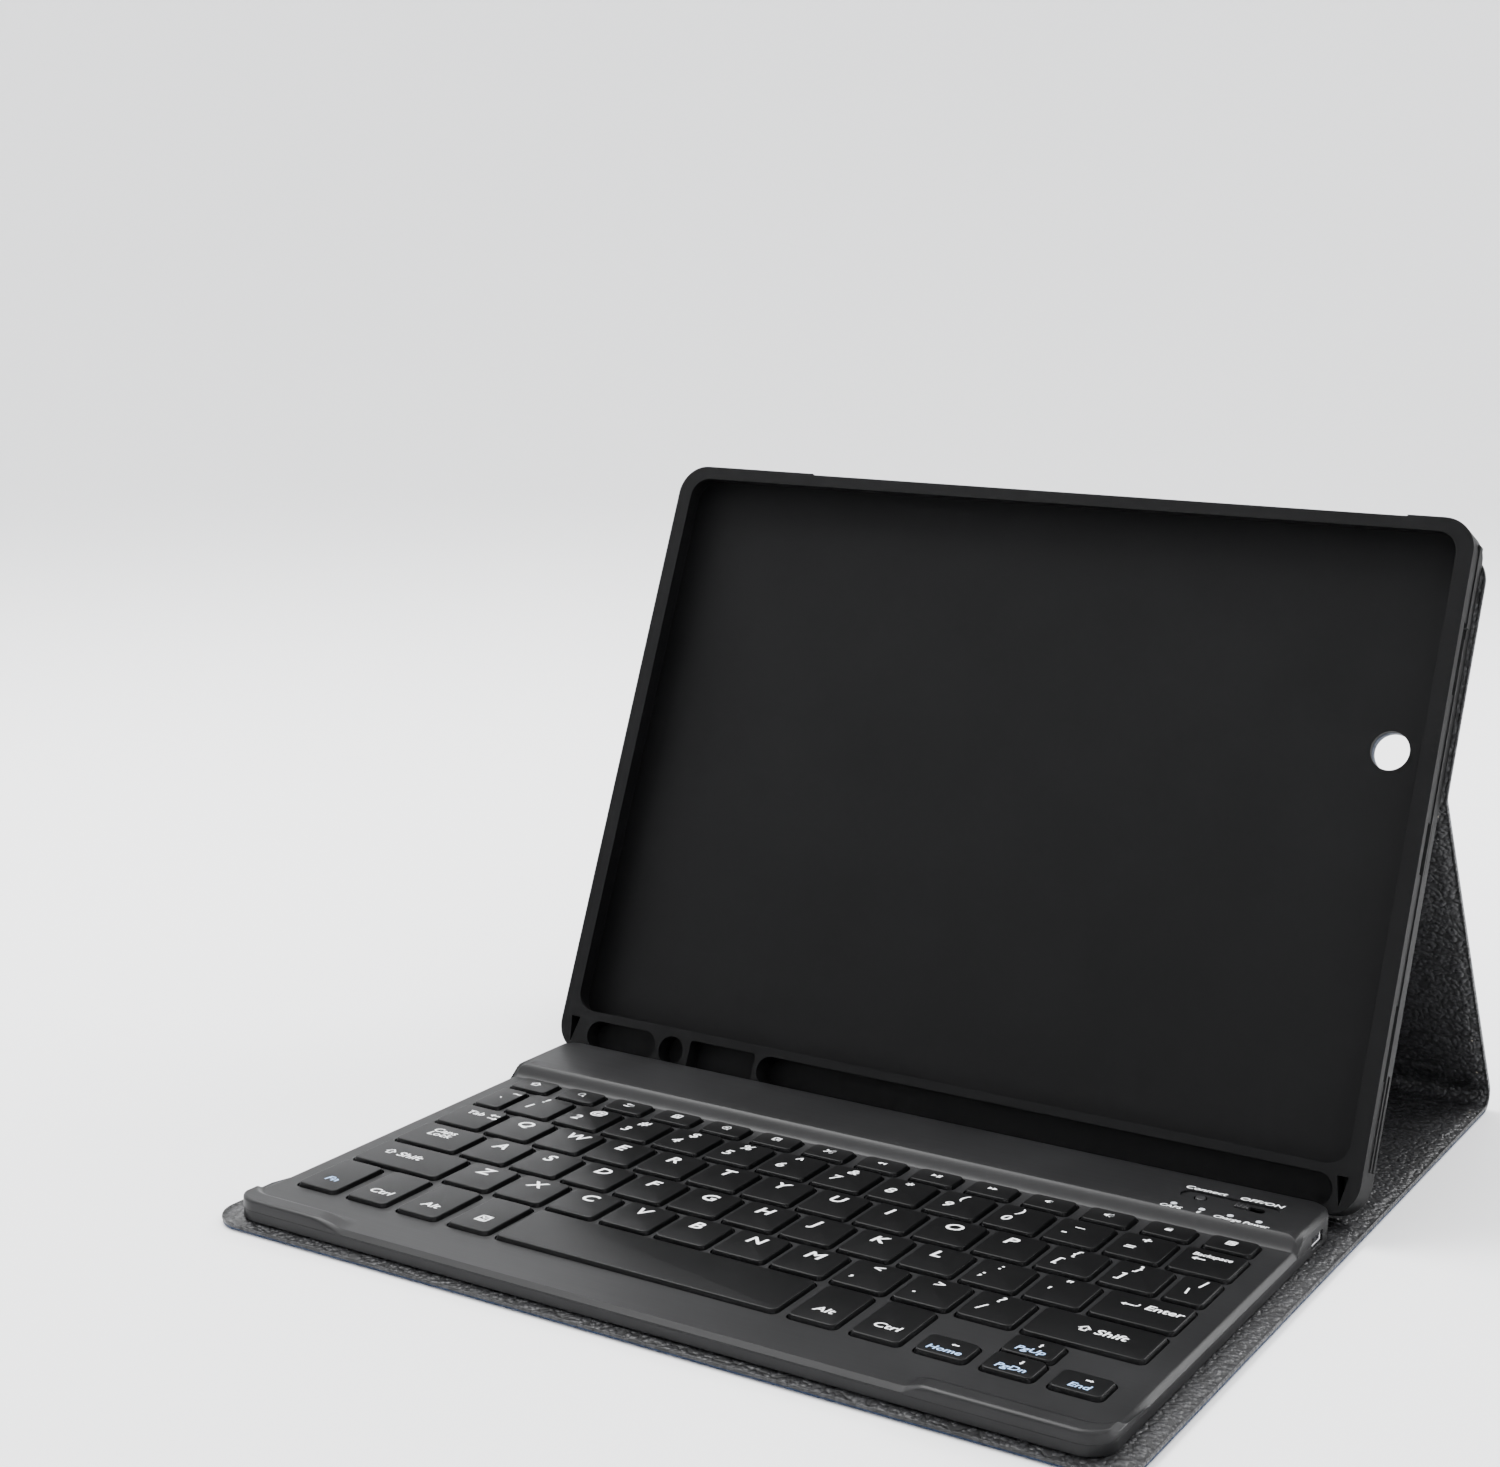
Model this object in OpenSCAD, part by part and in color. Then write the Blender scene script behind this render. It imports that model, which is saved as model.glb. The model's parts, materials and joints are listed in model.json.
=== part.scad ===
// Folding keyboard case for a 10.2 inch tablet, shown standing as a laptop.
// X runs to the user's right, Y runs away from the user, Z is up. Millimetres.

/* [Cover] */
// Width of the folding cover
cover_w = 258; // [257:1:262]
// Length of the front panel that carries the keyboard
front_len = 205; // [204:1:208]
// Length of the spine panel
spine_len = 26; // [24:1:28]
// Thickness of one cover panel, leather to lining
panel_t = 2.2; // [2.0:0.1:2.4]
// Corner radius of the cover
cover_r = 9; // [6:1:12]

/* [Stand] */
// Lean of the tray back from upright, in degrees
lean = 22; // [21:0.5:23]
// Height up the tray at which the back cover folds away
fold_up = 15; // [12:1:18]

/* [Tray] */
// Length of the tablet that the tray holds
tablet_w = 250.6; // [250:0.1:251]
// Width of the tablet that the tray holds
tablet_d = 174.1; // [173.5:0.1:174.5]
// Thickness of the tablet that the tray holds
tablet_t = 7.5; // [7:0.1:7.8]
// Length of the pen trough
pen_len = 176; // [174:1:177]

/* [Keyboard] */
// Width of the keyboard housing
kb_w = 245; // [244:1:248]
// Height of the deck between the keys
deck_z = 6.6; // [6.4:0.1:6.8]
// Height of the raised housing behind the keys
rear_z = 10; // [9.6:0.1:10.4]
// Distance between letter keys
pitch = 16.9; // [16.8:0.1:17.0]
// How far a key goes down
key_travel = 1.2; // [1.0:0.1:1.2]

/* [Hidden] */
$fn = 48;
fit = 0.05;

// cover stack
front_y = -137;
root_y = 135;
axis_drop = 0.2;
leather_t = 0.8;
lining_t = 0.5;
board_t = panel_t - leather_t - lining_t - 2 * fit;
spine_y = front_y + front_len;
flap_y = spine_y + spine_len;
flap_len = root_y - flap_y;
fold_y = flap_y + flap_len / 2;
crease = 1.5;
fold_gap = 1.0;
root_gap = 5.2;
board_clear = 3;

// tray, in a frame whose Z = 0 is the tablet's glass
glass_y = 47;
glass_z = 97.5;
lip_t = 1.2;
floor_t = 1.6;
ease = 0.3;
tray_w = 255;
tray_top = 89.5;
tray_bottom = -98.5;
tray_r = 9;
tray_back = tablet_t + ease + floor_t;
trough_mid = -92.4;
trough_w = 8.8;
trough_start = -55.6;
camera_x = 112;
camera_v = fold_up + 11;
camera_r = 5.4;

// back cover above the tray's fold
upper_back = tray_back + ease;
upper_top = 84;
mid_w = upper_back + panel_t / 2;
mid_y = glass_y + fold_up * sin(lean) + mid_w * cos(lean);
mid_z = glass_z + fold_up * cos(lean) - mid_w * sin(lean);
strut_span = norm([mid_y - root_y, mid_z + axis_drop]);
strut_off = axis_drop + panel_t / 2;
strut_len = sqrt(strut_span * strut_span - strut_off * strut_off);
strut_turn = atan2(mid_z + axis_drop, mid_y - root_y) - asin(strut_off / strut_span);

// keyboard housing
kb_front = -134.5;
kb_rear = 8.6;
kb_z = 2.5;
kb_r = 7;
floor_z = 3.2;
split_z = 5.2;
step_y = -20;
step_run = 4;
wall = 1.5;
lip_z = 8.2;
lip_d = 7;
left_lip = 36;
right_lip = 44;
lip_ramp = 4;

// keys: [front edge of each row], from the number row down
row_front = [-45.2, -62.1, -79.0, -95.9, -117.3];
first_x = [-104.4, -98.3, -93.0, -85.0];
key_w = 14.1;
key_d = 14.3;
low_d = 18.8;
top_front = -28.4;
top_d = 7.8;
top_w = 12.2;
top_x = -115.5;
top_pitch = 16.65;
key_top = deck_z + 1;
key_low = 5.3;
key_roof = key_top - 1.1;
skirt = 0.55;
key_gap = 0.35;
key_r = 1.6;
edge_l = -115.5;
edge_r = 114;
low_pitch = 16.6;
space_l = -50.4;
space_r = 30.8;

// case screws and their bosses
screw_x = [-110, -56, 56, 110];
screw_y = [-127, 3];
screw_r = 0.7;
head_r = 1.5;
boss_r = 2.2;

// controls
pill_x = 98.6;
pill_y = -4.6;
pill_w = 27;
pill_d = 6;
pill_deep = 0.6;
button_x = 90.6;
slider_x = 103.5;
slider_travel = 3;
led_x = 86.5;
led_y = -12.6;
led_pitch = 7.7;

// ---- shared shapes ----

// flat rounded rectangle from one corner
module plate(w, d, r) {
  translate([r, 0]) square([w - 2 * r, d]);
  translate([0, r]) square([w, d - 2 * r]);
  for (x = [r, w - r]) for (y = [r, d - r]) translate([x, y]) circle(r = r);
}

// slab centred on X between two Y values
module slab(w, y0, y1, z0, z1, r) {
  translate([-w / 2, y0, z0]) linear_extrude(z1 - z0) plate(w, y1 - y0, r);
}

// slab with round corners only at its near end
module near_slab(w, y0, y1, z0, z1, r) {
  slab(w, y0, y0 + 3 * r, z0, z1, r);
  translate([-w / 2, y0 + r, z0]) cube([w, y1 - y0 - r, z1 - z0]);
}

// slab with round corners only at its far end
module far_slab(w, y0, y1, z0, z1, r) {
  slab(w, y1 - 3 * r, y1, z0, z1, r);
  translate([-w / 2, y0, z0]) cube([w, y1 - y0 - r, z1 - z0]);
}

// long hole with round ends
module pill(w, d, h) {
  translate([-w / 2, -d / 2, 0]) linear_extrude(h) plate(w, d, d / 2 - 0.01);
}

// places a child drawn flat into the leaning tray
module in_stand() translate([0, glass_y, glass_z]) rotate([90 - lean, 0, 0]) children();

// places a child drawn flat into the strut
module in_strut() translate([0, root_y, -axis_drop]) rotate([strut_turn, 0, 0]) children();

// ---- cover: panel that lies on the table ----

module base_leather() {
  color([0.15, 0.22, 0.36]) near_slab(cover_w, front_y, root_y - root_gap, 0, leather_t, cover_r);
}

module base_lining() {
  inset = 0.8;
  color([0.13, 0.13, 0.14])
    near_slab(cover_w - 2 * inset, front_y + inset, root_y - root_gap, panel_t - lining_t, panel_t, cover_r);
}

module board(y0, y1, z0, r = 1) {
  inset = 3;
  color([0.45, 0.42, 0.38]) slab(cover_w - 2 * inset, y0, y1, z0, z0 + board_t, r);
}

board_z = leather_t + fit;
module front_board() difference() {
  board(front_y + 3, spine_y - crease, board_z, cover_r - 3);
  magnet_grid() cylinder(r = magnet_r + fit, h = 10);
}
module spine_board() board(spine_y + crease, flap_y - crease, board_z);
module flap_board_inner() board(flap_y + crease, fold_y - fold_gap, board_z);
module flap_board_outer() board(fold_y + fold_gap, root_y - root_gap - board_clear, board_z);

// steel discs in the front board, under the keyboard's magnets
magnet_r = 5;
magnet_x = 98;
module magnet_grid() {
  for (x = [-magnet_x, 0, magnet_x]) for (y = [-124, -10]) translate([x, y, 0]) children();
}

module cover_magnets() {
  color([0.6, 0.6, 0.62]) magnet_grid() translate([0, 0, board_z]) cylinder(r = magnet_r, h = board_t);
}

// ---- cover: strut between table and tray ----

strut_low = axis_drop;
module strut_leather() {
  color([0.15, 0.22, 0.36]) in_strut()
    translate([-cover_w / 2, root_gap, strut_low]) cube([cover_w, strut_len - root_gap - crease, leather_t]);
}

module strut_board() {
  in_strut() board(root_gap + board_clear, strut_len - crease - board_clear, strut_low + board_z);
}

module strut_lining() {
  inset = 0.8;
  color([0.13, 0.13, 0.14]) in_strut()
    translate([-cover_w / 2 + inset, root_gap, strut_low + panel_t - lining_t])
      cube([cover_w - 2 * inset, strut_len - root_gap - crease, lining_t]);
}

// ---- cover: upper panel bonded to the tray ----

upper_z = -upper_back - panel_t;
module camera_hole(grow = 0) {
  translate([camera_x, camera_v, -20]) cylinder(r = camera_r + grow, h = 30);
}

module upper_leather() {
  color([0.15, 0.22, 0.36]) in_stand() difference() {
    far_slab(cover_w, fold_up + crease, upper_top, upper_z, upper_z + leather_t, cover_r);
    camera_hole(1.2);
  }
}

module upper_board() {
  in_stand() difference() {
    board(fold_up + crease + 1, upper_top - 3, upper_z + board_z, cover_r - 3);
    camera_hole(1.2);
  }
}

module upper_lining() {
  inset = 0.8;
  color([0.13, 0.13, 0.14]) in_stand() difference() {
    far_slab(cover_w - 2 * inset, fold_up + crease, upper_top - inset, upper_z + panel_t - lining_t,
      upper_z + panel_t, cover_r);
    camera_hole(1.2);
  }
}

module camera_ring() {
  color([0.12, 0.16, 0.26]) in_stand() difference() {
    union() {
      translate([camera_x, camera_v, upper_z - 0.6]) cylinder(r = camera_r + 2.6, h = 0.6 - fit);
      translate([camera_x, camera_v, upper_z - 0.6]) cylinder(r = camera_r + 1.0, h = panel_t + 0.6);
    }
    camera_hole();
  }
}

// ---- tray ----

pocket_deep = 6;
long_pocket_x = -104.4;
round_pocket_x = -86.2;
square_pocket_x = -68.4;
window_x = 121.4;
module tray_pockets() {
  mouth = lip_t - pocket_deep;
  // pen trough
  translate([trough_start + pen_len / 2, trough_mid, mouth - 2]) pill(pen_len, trough_w, pocket_deep + 3);
  // short pockets beside it
  translate([long_pocket_x, trough_mid, mouth]) pill(25, 8.6, pocket_deep + 1);
  translate([round_pocket_x, trough_mid, mouth]) cylinder(r = 4.3, h = pocket_deep + 1);
  translate([square_pocket_x, trough_mid, mouth])
    linear_extrude(pocket_deep + 1) translate([-11.4, -4.3]) plate(22.8, 8.6, 1);
  // corner windows
  for (s = [-1, 1]) translate([s * window_x, trough_mid + 1, mouth])
    linear_extrude(pocket_deep + 1) polygon([[-s * 0.6, 3.4], [s * 2.6, 3.4], [s * 1.2, -4.4]]);
}

module tray_shell() {
  cav_w = tablet_w + 2 * ease;
  cav_d = tablet_d + 2 * ease;
  lip_in = 2.4;
  color([0.07, 0.07, 0.08]) in_stand() difference() {
    slab(tray_w, tray_bottom, tray_top, -tray_back, lip_t, tray_r);
    // room for the tablet
    slab(cav_w, -cav_d / 2, cav_d / 2, -tablet_t - ease, 0.1, tray_r - 2);
    // opening in front of the glass
    slab(tablet_w - 2 * lip_in, -tablet_d / 2 + 1.5, tablet_d / 2 - 1.5, -1, lip_t + 1, tray_r - 3);
    tray_pockets();
    camera_hole();
    // opening for the tablet's charge port and its sound holes, on the right
    translate([tray_w / 2 - 5, -7, -6.2]) cube([10, 14, 4.6]);
    for (y = [-62, 42]) translate([tray_w / 2 - 5, y, -5.6]) cube([10, 20, 3.4]);
    // relief beside the side key, on the top edge
    translate([-80, tray_top - 0.4, -6.6]) cube([188, 2, 9]);
    translate([-78, tray_top - 1, -6.6]) cube([26, 2, 5]);
  }
}

// ---- keyboard housing ----

module kb_outline(inset = 0) {
  translate([-kb_w / 2 + inset, kb_front + inset])
    plate(kb_w - 2 * inset, kb_rear - kb_front - 2 * inset, kb_r - inset);
}

module port_hole() {
  translate([kb_w / 2 - 6, -9, 3.9]) cube([12, 8, 3.2]);
}

module screw_places() for (x = screw_x) for (y = screw_y) translate([x, y, kb_z]) children();

module keyboard_bottom() {
  color([0.10, 0.10, 0.11]) difference() {
    union() {
      difference() {
        translate([0, 0, kb_z]) linear_extrude(split_z - kb_z) kb_outline();
        translate([0, 0, floor_z]) linear_extrude(5) kb_outline(wall);
      }
      screw_places() cylinder(r = boss_r, h = split_z - kb_z);
    }
    port_hole();
    screw_places() translate([0, 0, -1]) cylinder(r = screw_r + 0.1, h = 5);
    screw_places() translate([0, 0, -1]) cylinder(r = head_r + 0.1, h = 1.7);
    magnet_grid() translate([0, 0, kb_z - 1]) cylinder(r = magnet_r + 0.1, h = 1.5);
  }
}

module key_hole(x, y, w, d) {
  g = skirt + key_gap;
  translate([x - g, y - g, split_z - 1]) linear_extrude(6) plate(w + 2 * g, d + 2 * g, key_r);
}

module front_lip(x, w) {
  translate([x, 0, 0]) rotate([90, 0, 90]) linear_extrude(w)
    polygon([[kb_front + 1.2, deck_z - 0.5], [kb_front + 2.2, lip_z], [kb_front + lip_d - 2, lip_z],
      [kb_front + lip_d, deck_z - 0.5]]);
}

module keyboard_frame() {
  color([0.16, 0.16, 0.17]) difference() {
    union() {
      difference() {
        translate([0, 0, split_z + fit]) linear_extrude(deck_z - split_z - fit) kb_outline();
        translate([-kb_w, step_y, 0]) cube([2 * kb_w, 100, 20]);
      }
      front_lip(-kb_w / 2 + 5, left_lip - 5);
      front_lip(kb_w / 2 - right_lip, right_lip - 5);
    }
    all_keys() key_hole($x, $y, $w, $d);
  }
}

module rear_housing() {
  color([0.17, 0.17, 0.18]) difference() {
    intersection() {
      translate([-kb_w / 2, 0, 0]) rotate([90, 0, 90]) linear_extrude(kb_w)
        polygon([[step_y + fit, split_z + fit], [kb_rear, split_z + fit], [kb_rear, rear_z - 0.8],
          [kb_rear - 0.8, rear_z], [step_y + step_run, rear_z], [step_y + fit, deck_z]]);
      linear_extrude(20) kb_outline();
    }
    // hollow for the battery and the circuit
    translate([0, 0, split_z - 1]) linear_extrude(rear_z - 1.2 - split_z + 1) intersection() {
      kb_outline(wall);
      translate([-kb_w, step_y + step_run]) square([2 * kb_w, 100]);
    }
    port_hole();
    translate([pill_x, pill_y, rear_z - pill_deep]) pill(pill_w, pill_d, 2);
    translate([button_x, pill_y, rear_z - 3]) cylinder(r = 1.8, h = 5);
    translate([slider_x, pill_y, rear_z - 3]) pill(9.4, 2.8, 5);
    for (i = [0:3]) translate([led_x + i * led_pitch, led_y, rear_z - 3]) cylinder(r = 0.9, h = 5);
  }
}

module case_screws() {
  color([0.35, 0.35, 0.36]) screw_places() translate([0, 0, 0.1]) difference() {
    union() {
      cylinder(r = head_r, h = 0.5);
      cylinder(r = screw_r, h = 2.5);
    }
    translate([-1, -0.2, -0.1]) cube([2, 0.4, 0.3]);
    translate([-0.2, -1, -0.1]) cube([0.4, 2, 0.3]);
  }
}

module keyboard_magnets() {
  color([0.62, 0.62, 0.64]) magnet_grid() translate([0, 0, kb_z + 0.05]) cylinder(r = magnet_r, h = 0.4);
}

plate_z = floor_z + fit;
module support_plate() {
  color([0.55, 0.56, 0.58]) slab(232, -121, -18, plate_z, plate_z + 0.3, 2);
}

membrane_z = plate_z + 0.35;
module membrane() {
  color([0.75, 0.78, 0.72]) slab(231, -120.5, -18.5, membrane_z, membrane_z + 0.15, 2);
}

dome_z = membrane_z + 0.2;
dome_h = key_roof - key_travel - 0.4 - dome_z;
module key_domes() {
  color([0.78, 0.78, 0.76]) all_keys() translate([$x + $w / 2, $y + $d / 2, dome_z]) {
    cylinder(r = 2.4, h = 0.4);
    cylinder(r = 1.6, h = dome_h);
  }
}

module battery() {
  color([0.66, 0.67, 0.68]) slab(96, -13.5, 5, floor_z + fit, 8.2, 1.5);
}

module circuit_board() {
  color([0.05, 0.30, 0.16]) translate([58, -13.5, floor_z + 0.4]) cube([58, 14, 0.3]);
  color([0.05, 0.05, 0.05]) for (x = [66, 78]) translate([x, -9, floor_z + 0.7]) cube([7, 6, 0.9]);
}

module charge_port() {
  color([0.70, 0.70, 0.72]) difference() {
    translate([kb_w / 2 - 6.5, -8.7, 4.1]) cube([6, 7.4, 2.8]);
    translate([kb_w / 2 - 5.5, -8.2, 4.6]) cube([6, 6.4, 1.8]);
  }
}

module indicator_lights() {
  color([0.85, 0.88, 0.90]) for (i = [0:3]) translate([led_x + i * led_pitch, led_y, rear_z - 1.9])
    cylinder(r = 0.85, h = 1.85);
}

module pairing_button() {
  color([0.08, 0.08, 0.09]) translate([button_x, pill_y, 0]) {
    translate([0, 0, rear_z - 2.4]) cylinder(r = 1.4, h = 2.1);
    translate([0, 0, rear_z - 2.4]) cylinder(r = 2.2, h = 0.5);
  }
}

module power_slider() {
  color([0.08, 0.08, 0.09]) translate([slider_x - slider_travel / 2, pill_y, 0]) {
    translate([-1.9, -1.05, rear_z - 2.4]) cube([3.8, 2.1, 2.3]);
    translate([-2.6, -2.2, rear_z - 2.4]) cube([5.2, 4.4, 0.5]);
    for (x = [-1.2, 0, 1.2]) translate([x - 0.2, -1.05, rear_z - 0.12]) cube([0.4, 2.1, 0.3]);
  }
}

// ---- keys ----

// one hollow key, given by the corner and size of its top
module key(x, y, w, d) {
  w1 = w + 2 * skirt;
  d1 = d + 2 * skirt;
  color([0.10, 0.10, 0.105]) difference() {
    union() {
      translate([x - skirt, y - skirt, key_low]) linear_extrude(key_top - 0.4 - key_low) plate(w1, d1, key_r);
      translate([x - skirt / 2, y - skirt / 2, key_low])
        linear_extrude(key_top - 0.2 - key_low) plate(w + skirt, d + skirt, key_r);
      translate([x, y, key_low]) linear_extrude(key_top - key_low) plate(w, d, key_r);
    }
    translate([x + 0.8, y + 0.8, key_low - 1]) cube([w - 1.6, d - 1.6, key_roof - key_low + 1]);
  }
}

// hands each key's place to its child
module run(row, i0, i1) {
  for (i = [i0:i1]) let($x = first_x[row] + i * pitch, $y = row_front[row], $w = key_w, $d = key_d) children();
}

module span(row, x0, x1) {
  let($x = x0, $y = row_front[row], $w = x1 - x0, $d = row == 4 ? low_d : key_d) children();
}

module top_run(i0, i1) {
  for (i = [i0:i1]) let($x = top_x + i * top_pitch, $y = top_front, $w = top_w, $d = top_d) children();
}

module low_run(x0, i0, i1) {
  for (i = [i0:i1]) span(4, x0 + i * low_pitch, x0 + i * low_pitch + top_w) children();
}

// where the arrow keys stand
arrow_x = 67.9;
half_d = (low_d - 1.4) / 2;
module half_key(column, up) {
  let($x = arrow_x + column * low_pitch, $y = row_front[4] + up * (half_d + 1.4), $w = top_w, $d = half_d) children();
}

// right edge of each row's last letter key, where its end key starts
function last_x(row, n) = first_x[row] + (n - 1) * pitch + key_w + 2.8;

module all_keys() {
  top_run(0, 13) children();
  run(0, 0, 11) children();
  run(1, 0, 11) children();
  run(2, 0, 10) children();
  run(3, 0, 9) children();
  span(0, edge_l, first_x[0] - 2.8) children();
  span(1, edge_l, first_x[1] - 2.8) children();
  span(2, edge_l, first_x[2] - 2.8) children();
  span(3, edge_l, first_x[3] - 2.8) children();
  span(0, last_x(0, 12), edge_r) children();
  span(1, last_x(1, 12), edge_r) children();
  span(2, last_x(2, 11), edge_r) children();
  span(3, last_x(3, 10), edge_r) children();
  low_run(edge_l, 0, 3) children();
  span(4, space_l, space_r) children();
  low_run(space_r + 3.9, 0, 1) children();
  half_key(0, 0) children();
  half_key(1, 0) children();
  half_key(1, 1) children();
  half_key(2, 0) children();
}

module keys_function_left() top_run(0, 6) key($x, $y, $w, $d);
module keys_function_right() top_run(7, 13) key($x, $y, $w, $d);
module keys_number_left() {
  span(0, edge_l, first_x[0] - 2.8) key($x, $y, $w, $d);
  run(0, 0, 5) key($x, $y, $w, $d);
}
module keys_number_right() run(0, 6, 11) key($x, $y, $w, $d);
module key_backspace() span(0, last_x(0, 12), edge_r) key($x, $y, $w, $d);
module key_tab() span(1, edge_l, first_x[1] - 2.8) key($x, $y, $w, $d);
module keys_top_left() run(1, 0, 4) key($x, $y, $w, $d);
module keys_top_right() run(1, 5, 9) key($x, $y, $w, $d);
module keys_bracket() {
  run(1, 10, 11) key($x, $y, $w, $d);
  span(1, last_x(1, 12), edge_r) key($x, $y, $w, $d);
}
module key_caps() span(2, edge_l, first_x[2] - 2.8) key($x, $y, $w, $d);
module keys_home_left() run(2, 0, 4) key($x, $y, $w, $d);
module keys_home_right() run(2, 5, 10) key($x, $y, $w, $d);
module key_enter() span(2, last_x(2, 11), edge_r) key($x, $y, $w, $d);
module key_shift_left() span(3, edge_l, first_x[3] - 2.8) key($x, $y, $w, $d);
module keys_bottom_left() run(3, 0, 4) key($x, $y, $w, $d);
module keys_bottom_right() run(3, 5, 9) key($x, $y, $w, $d);
module key_shift_right() span(3, last_x(3, 10), edge_r) key($x, $y, $w, $d);
module keys_modifier_left() low_run(edge_l, 0, 3) key($x, $y, $w, $d);
module key_space() span(4, space_l, space_r) key($x, $y, $w, $d);
module keys_modifier_right() low_run(space_r + 3.9, 0, 1) key($x, $y, $w, $d);
module key_arrow_left() half_key(0, 0) key($x, $y, $w, $d);
module key_arrow_down() half_key(1, 0) key($x, $y, $w, $d);
module key_arrow_up() half_key(1, 1) key($x, $y, $w, $d);
module key_arrow_right() half_key(2, 0) key($x, $y, $w, $d);

base_leather();
base_lining();
front_board();
spine_board();
flap_board_inner();
flap_board_outer();
cover_magnets();
strut_leather();
strut_board();
strut_lining();
upper_leather();
upper_board();
upper_lining();
tray_shell();
camera_ring();
keyboard_bottom();
keyboard_frame();
rear_housing();
support_plate();
membrane();
key_domes();
battery();
circuit_board();
charge_port();
indicator_lights();
case_screws();
keyboard_magnets();
pairing_button();
power_slider();
keys_function_left();
keys_function_right();
keys_number_left();
keys_number_right();
key_backspace();
key_tab();
keys_top_left();
keys_top_right();
keys_bracket();
key_caps();
keys_home_left();
keys_home_right();
key_enter();
key_shift_left();
keys_bottom_left();
keys_bottom_right();
key_shift_right();
keys_modifier_left();
key_space();
keys_modifier_right();
key_arrow_left();
key_arrow_up();
key_arrow_down();
key_arrow_right();
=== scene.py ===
import bpy, bmesh, math, json
import numpy as np
from mathutils import Vector, Matrix

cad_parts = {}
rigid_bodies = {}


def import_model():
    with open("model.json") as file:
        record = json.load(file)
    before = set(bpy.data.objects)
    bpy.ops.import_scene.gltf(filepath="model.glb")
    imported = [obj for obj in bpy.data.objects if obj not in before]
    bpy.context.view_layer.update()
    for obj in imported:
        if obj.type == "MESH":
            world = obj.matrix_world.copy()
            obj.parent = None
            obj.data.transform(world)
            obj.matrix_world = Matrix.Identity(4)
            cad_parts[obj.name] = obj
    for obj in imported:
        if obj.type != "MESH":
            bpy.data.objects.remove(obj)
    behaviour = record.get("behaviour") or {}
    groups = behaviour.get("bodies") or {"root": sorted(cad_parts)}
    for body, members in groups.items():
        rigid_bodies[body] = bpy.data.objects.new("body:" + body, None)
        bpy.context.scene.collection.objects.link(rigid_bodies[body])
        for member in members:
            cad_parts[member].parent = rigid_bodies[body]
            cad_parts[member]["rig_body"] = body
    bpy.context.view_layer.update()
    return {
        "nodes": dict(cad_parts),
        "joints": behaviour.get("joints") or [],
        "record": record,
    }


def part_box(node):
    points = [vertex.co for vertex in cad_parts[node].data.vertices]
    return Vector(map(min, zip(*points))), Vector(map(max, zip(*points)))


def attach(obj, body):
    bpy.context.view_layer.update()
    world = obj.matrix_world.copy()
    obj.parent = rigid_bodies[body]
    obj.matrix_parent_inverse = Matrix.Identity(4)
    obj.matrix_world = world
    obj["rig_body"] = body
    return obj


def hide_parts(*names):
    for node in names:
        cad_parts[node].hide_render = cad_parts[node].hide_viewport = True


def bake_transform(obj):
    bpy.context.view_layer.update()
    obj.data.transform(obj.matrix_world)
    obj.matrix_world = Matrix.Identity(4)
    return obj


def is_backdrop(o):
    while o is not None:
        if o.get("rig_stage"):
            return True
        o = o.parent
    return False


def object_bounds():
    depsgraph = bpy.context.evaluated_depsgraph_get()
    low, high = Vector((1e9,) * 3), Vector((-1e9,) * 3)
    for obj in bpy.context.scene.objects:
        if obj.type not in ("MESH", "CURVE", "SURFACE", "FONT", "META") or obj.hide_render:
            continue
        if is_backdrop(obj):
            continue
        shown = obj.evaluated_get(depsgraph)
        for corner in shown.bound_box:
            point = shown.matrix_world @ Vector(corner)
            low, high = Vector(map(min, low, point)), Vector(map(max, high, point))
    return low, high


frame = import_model()
NODES = frame["nodes"]
REC = frame["record"]
JOINTS = {j["name"]: j for j in frame["joints"]}
MM = 0.001


# ------------------------------------------------------------------ mesh helpers

def new_mesh(name, verts, faces, smooth=True):
    me = bpy.data.meshes.new(name)
    me.from_pydata([tuple(v) for v in verts], [], faces)
    me.validate()
    for p in me.polygons:
        p.use_smooth = smooth
    ob = bpy.data.objects.new(name, me)
    bpy.context.scene.collection.objects.link(ob)
    return ob


def rounded_ring(x0, x1, y0, y1, r, seg=6):
    """points round a rounded rectangle, counter-clockwise from above"""
    r = min(r, (x1 - x0) / 2 - 1e-6, (y1 - y0) / 2 - 1e-6)
    pts = []
    corners = ((x1 - r, y1 - r, 0), (x0 + r, y1 - r, 90), (x0 + r, y0 + r, 180), (x1 - r, y0 + r, 270))
    for cx, cy, a0 in corners:
        for k in range(seg + 1):
            a = math.radians(a0 + 90 * k / seg)
            pts.append((cx + r * math.cos(a), cy + r * math.sin(a)))
    return pts


def loft(rings, cap_start=True, cap_end=True):
    """verts and faces through rings of equal length"""
    n = len(rings[0])
    verts = [p for ring in rings for p in ring]
    faces = []
    for k in range(len(rings) - 1):
        a, b = k * n, (k + 1) * n
        for i in range(n):
            j = (i + 1) % n
            faces.append((a + i, a + j, b + j, b + i))
    if cap_start:
        faces.append(tuple(range(n - 1, -1, -1)))
    if cap_end:
        faces.append(tuple(range((len(rings) - 1) * n, len(rings) * n)))
    return verts, faces


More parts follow.
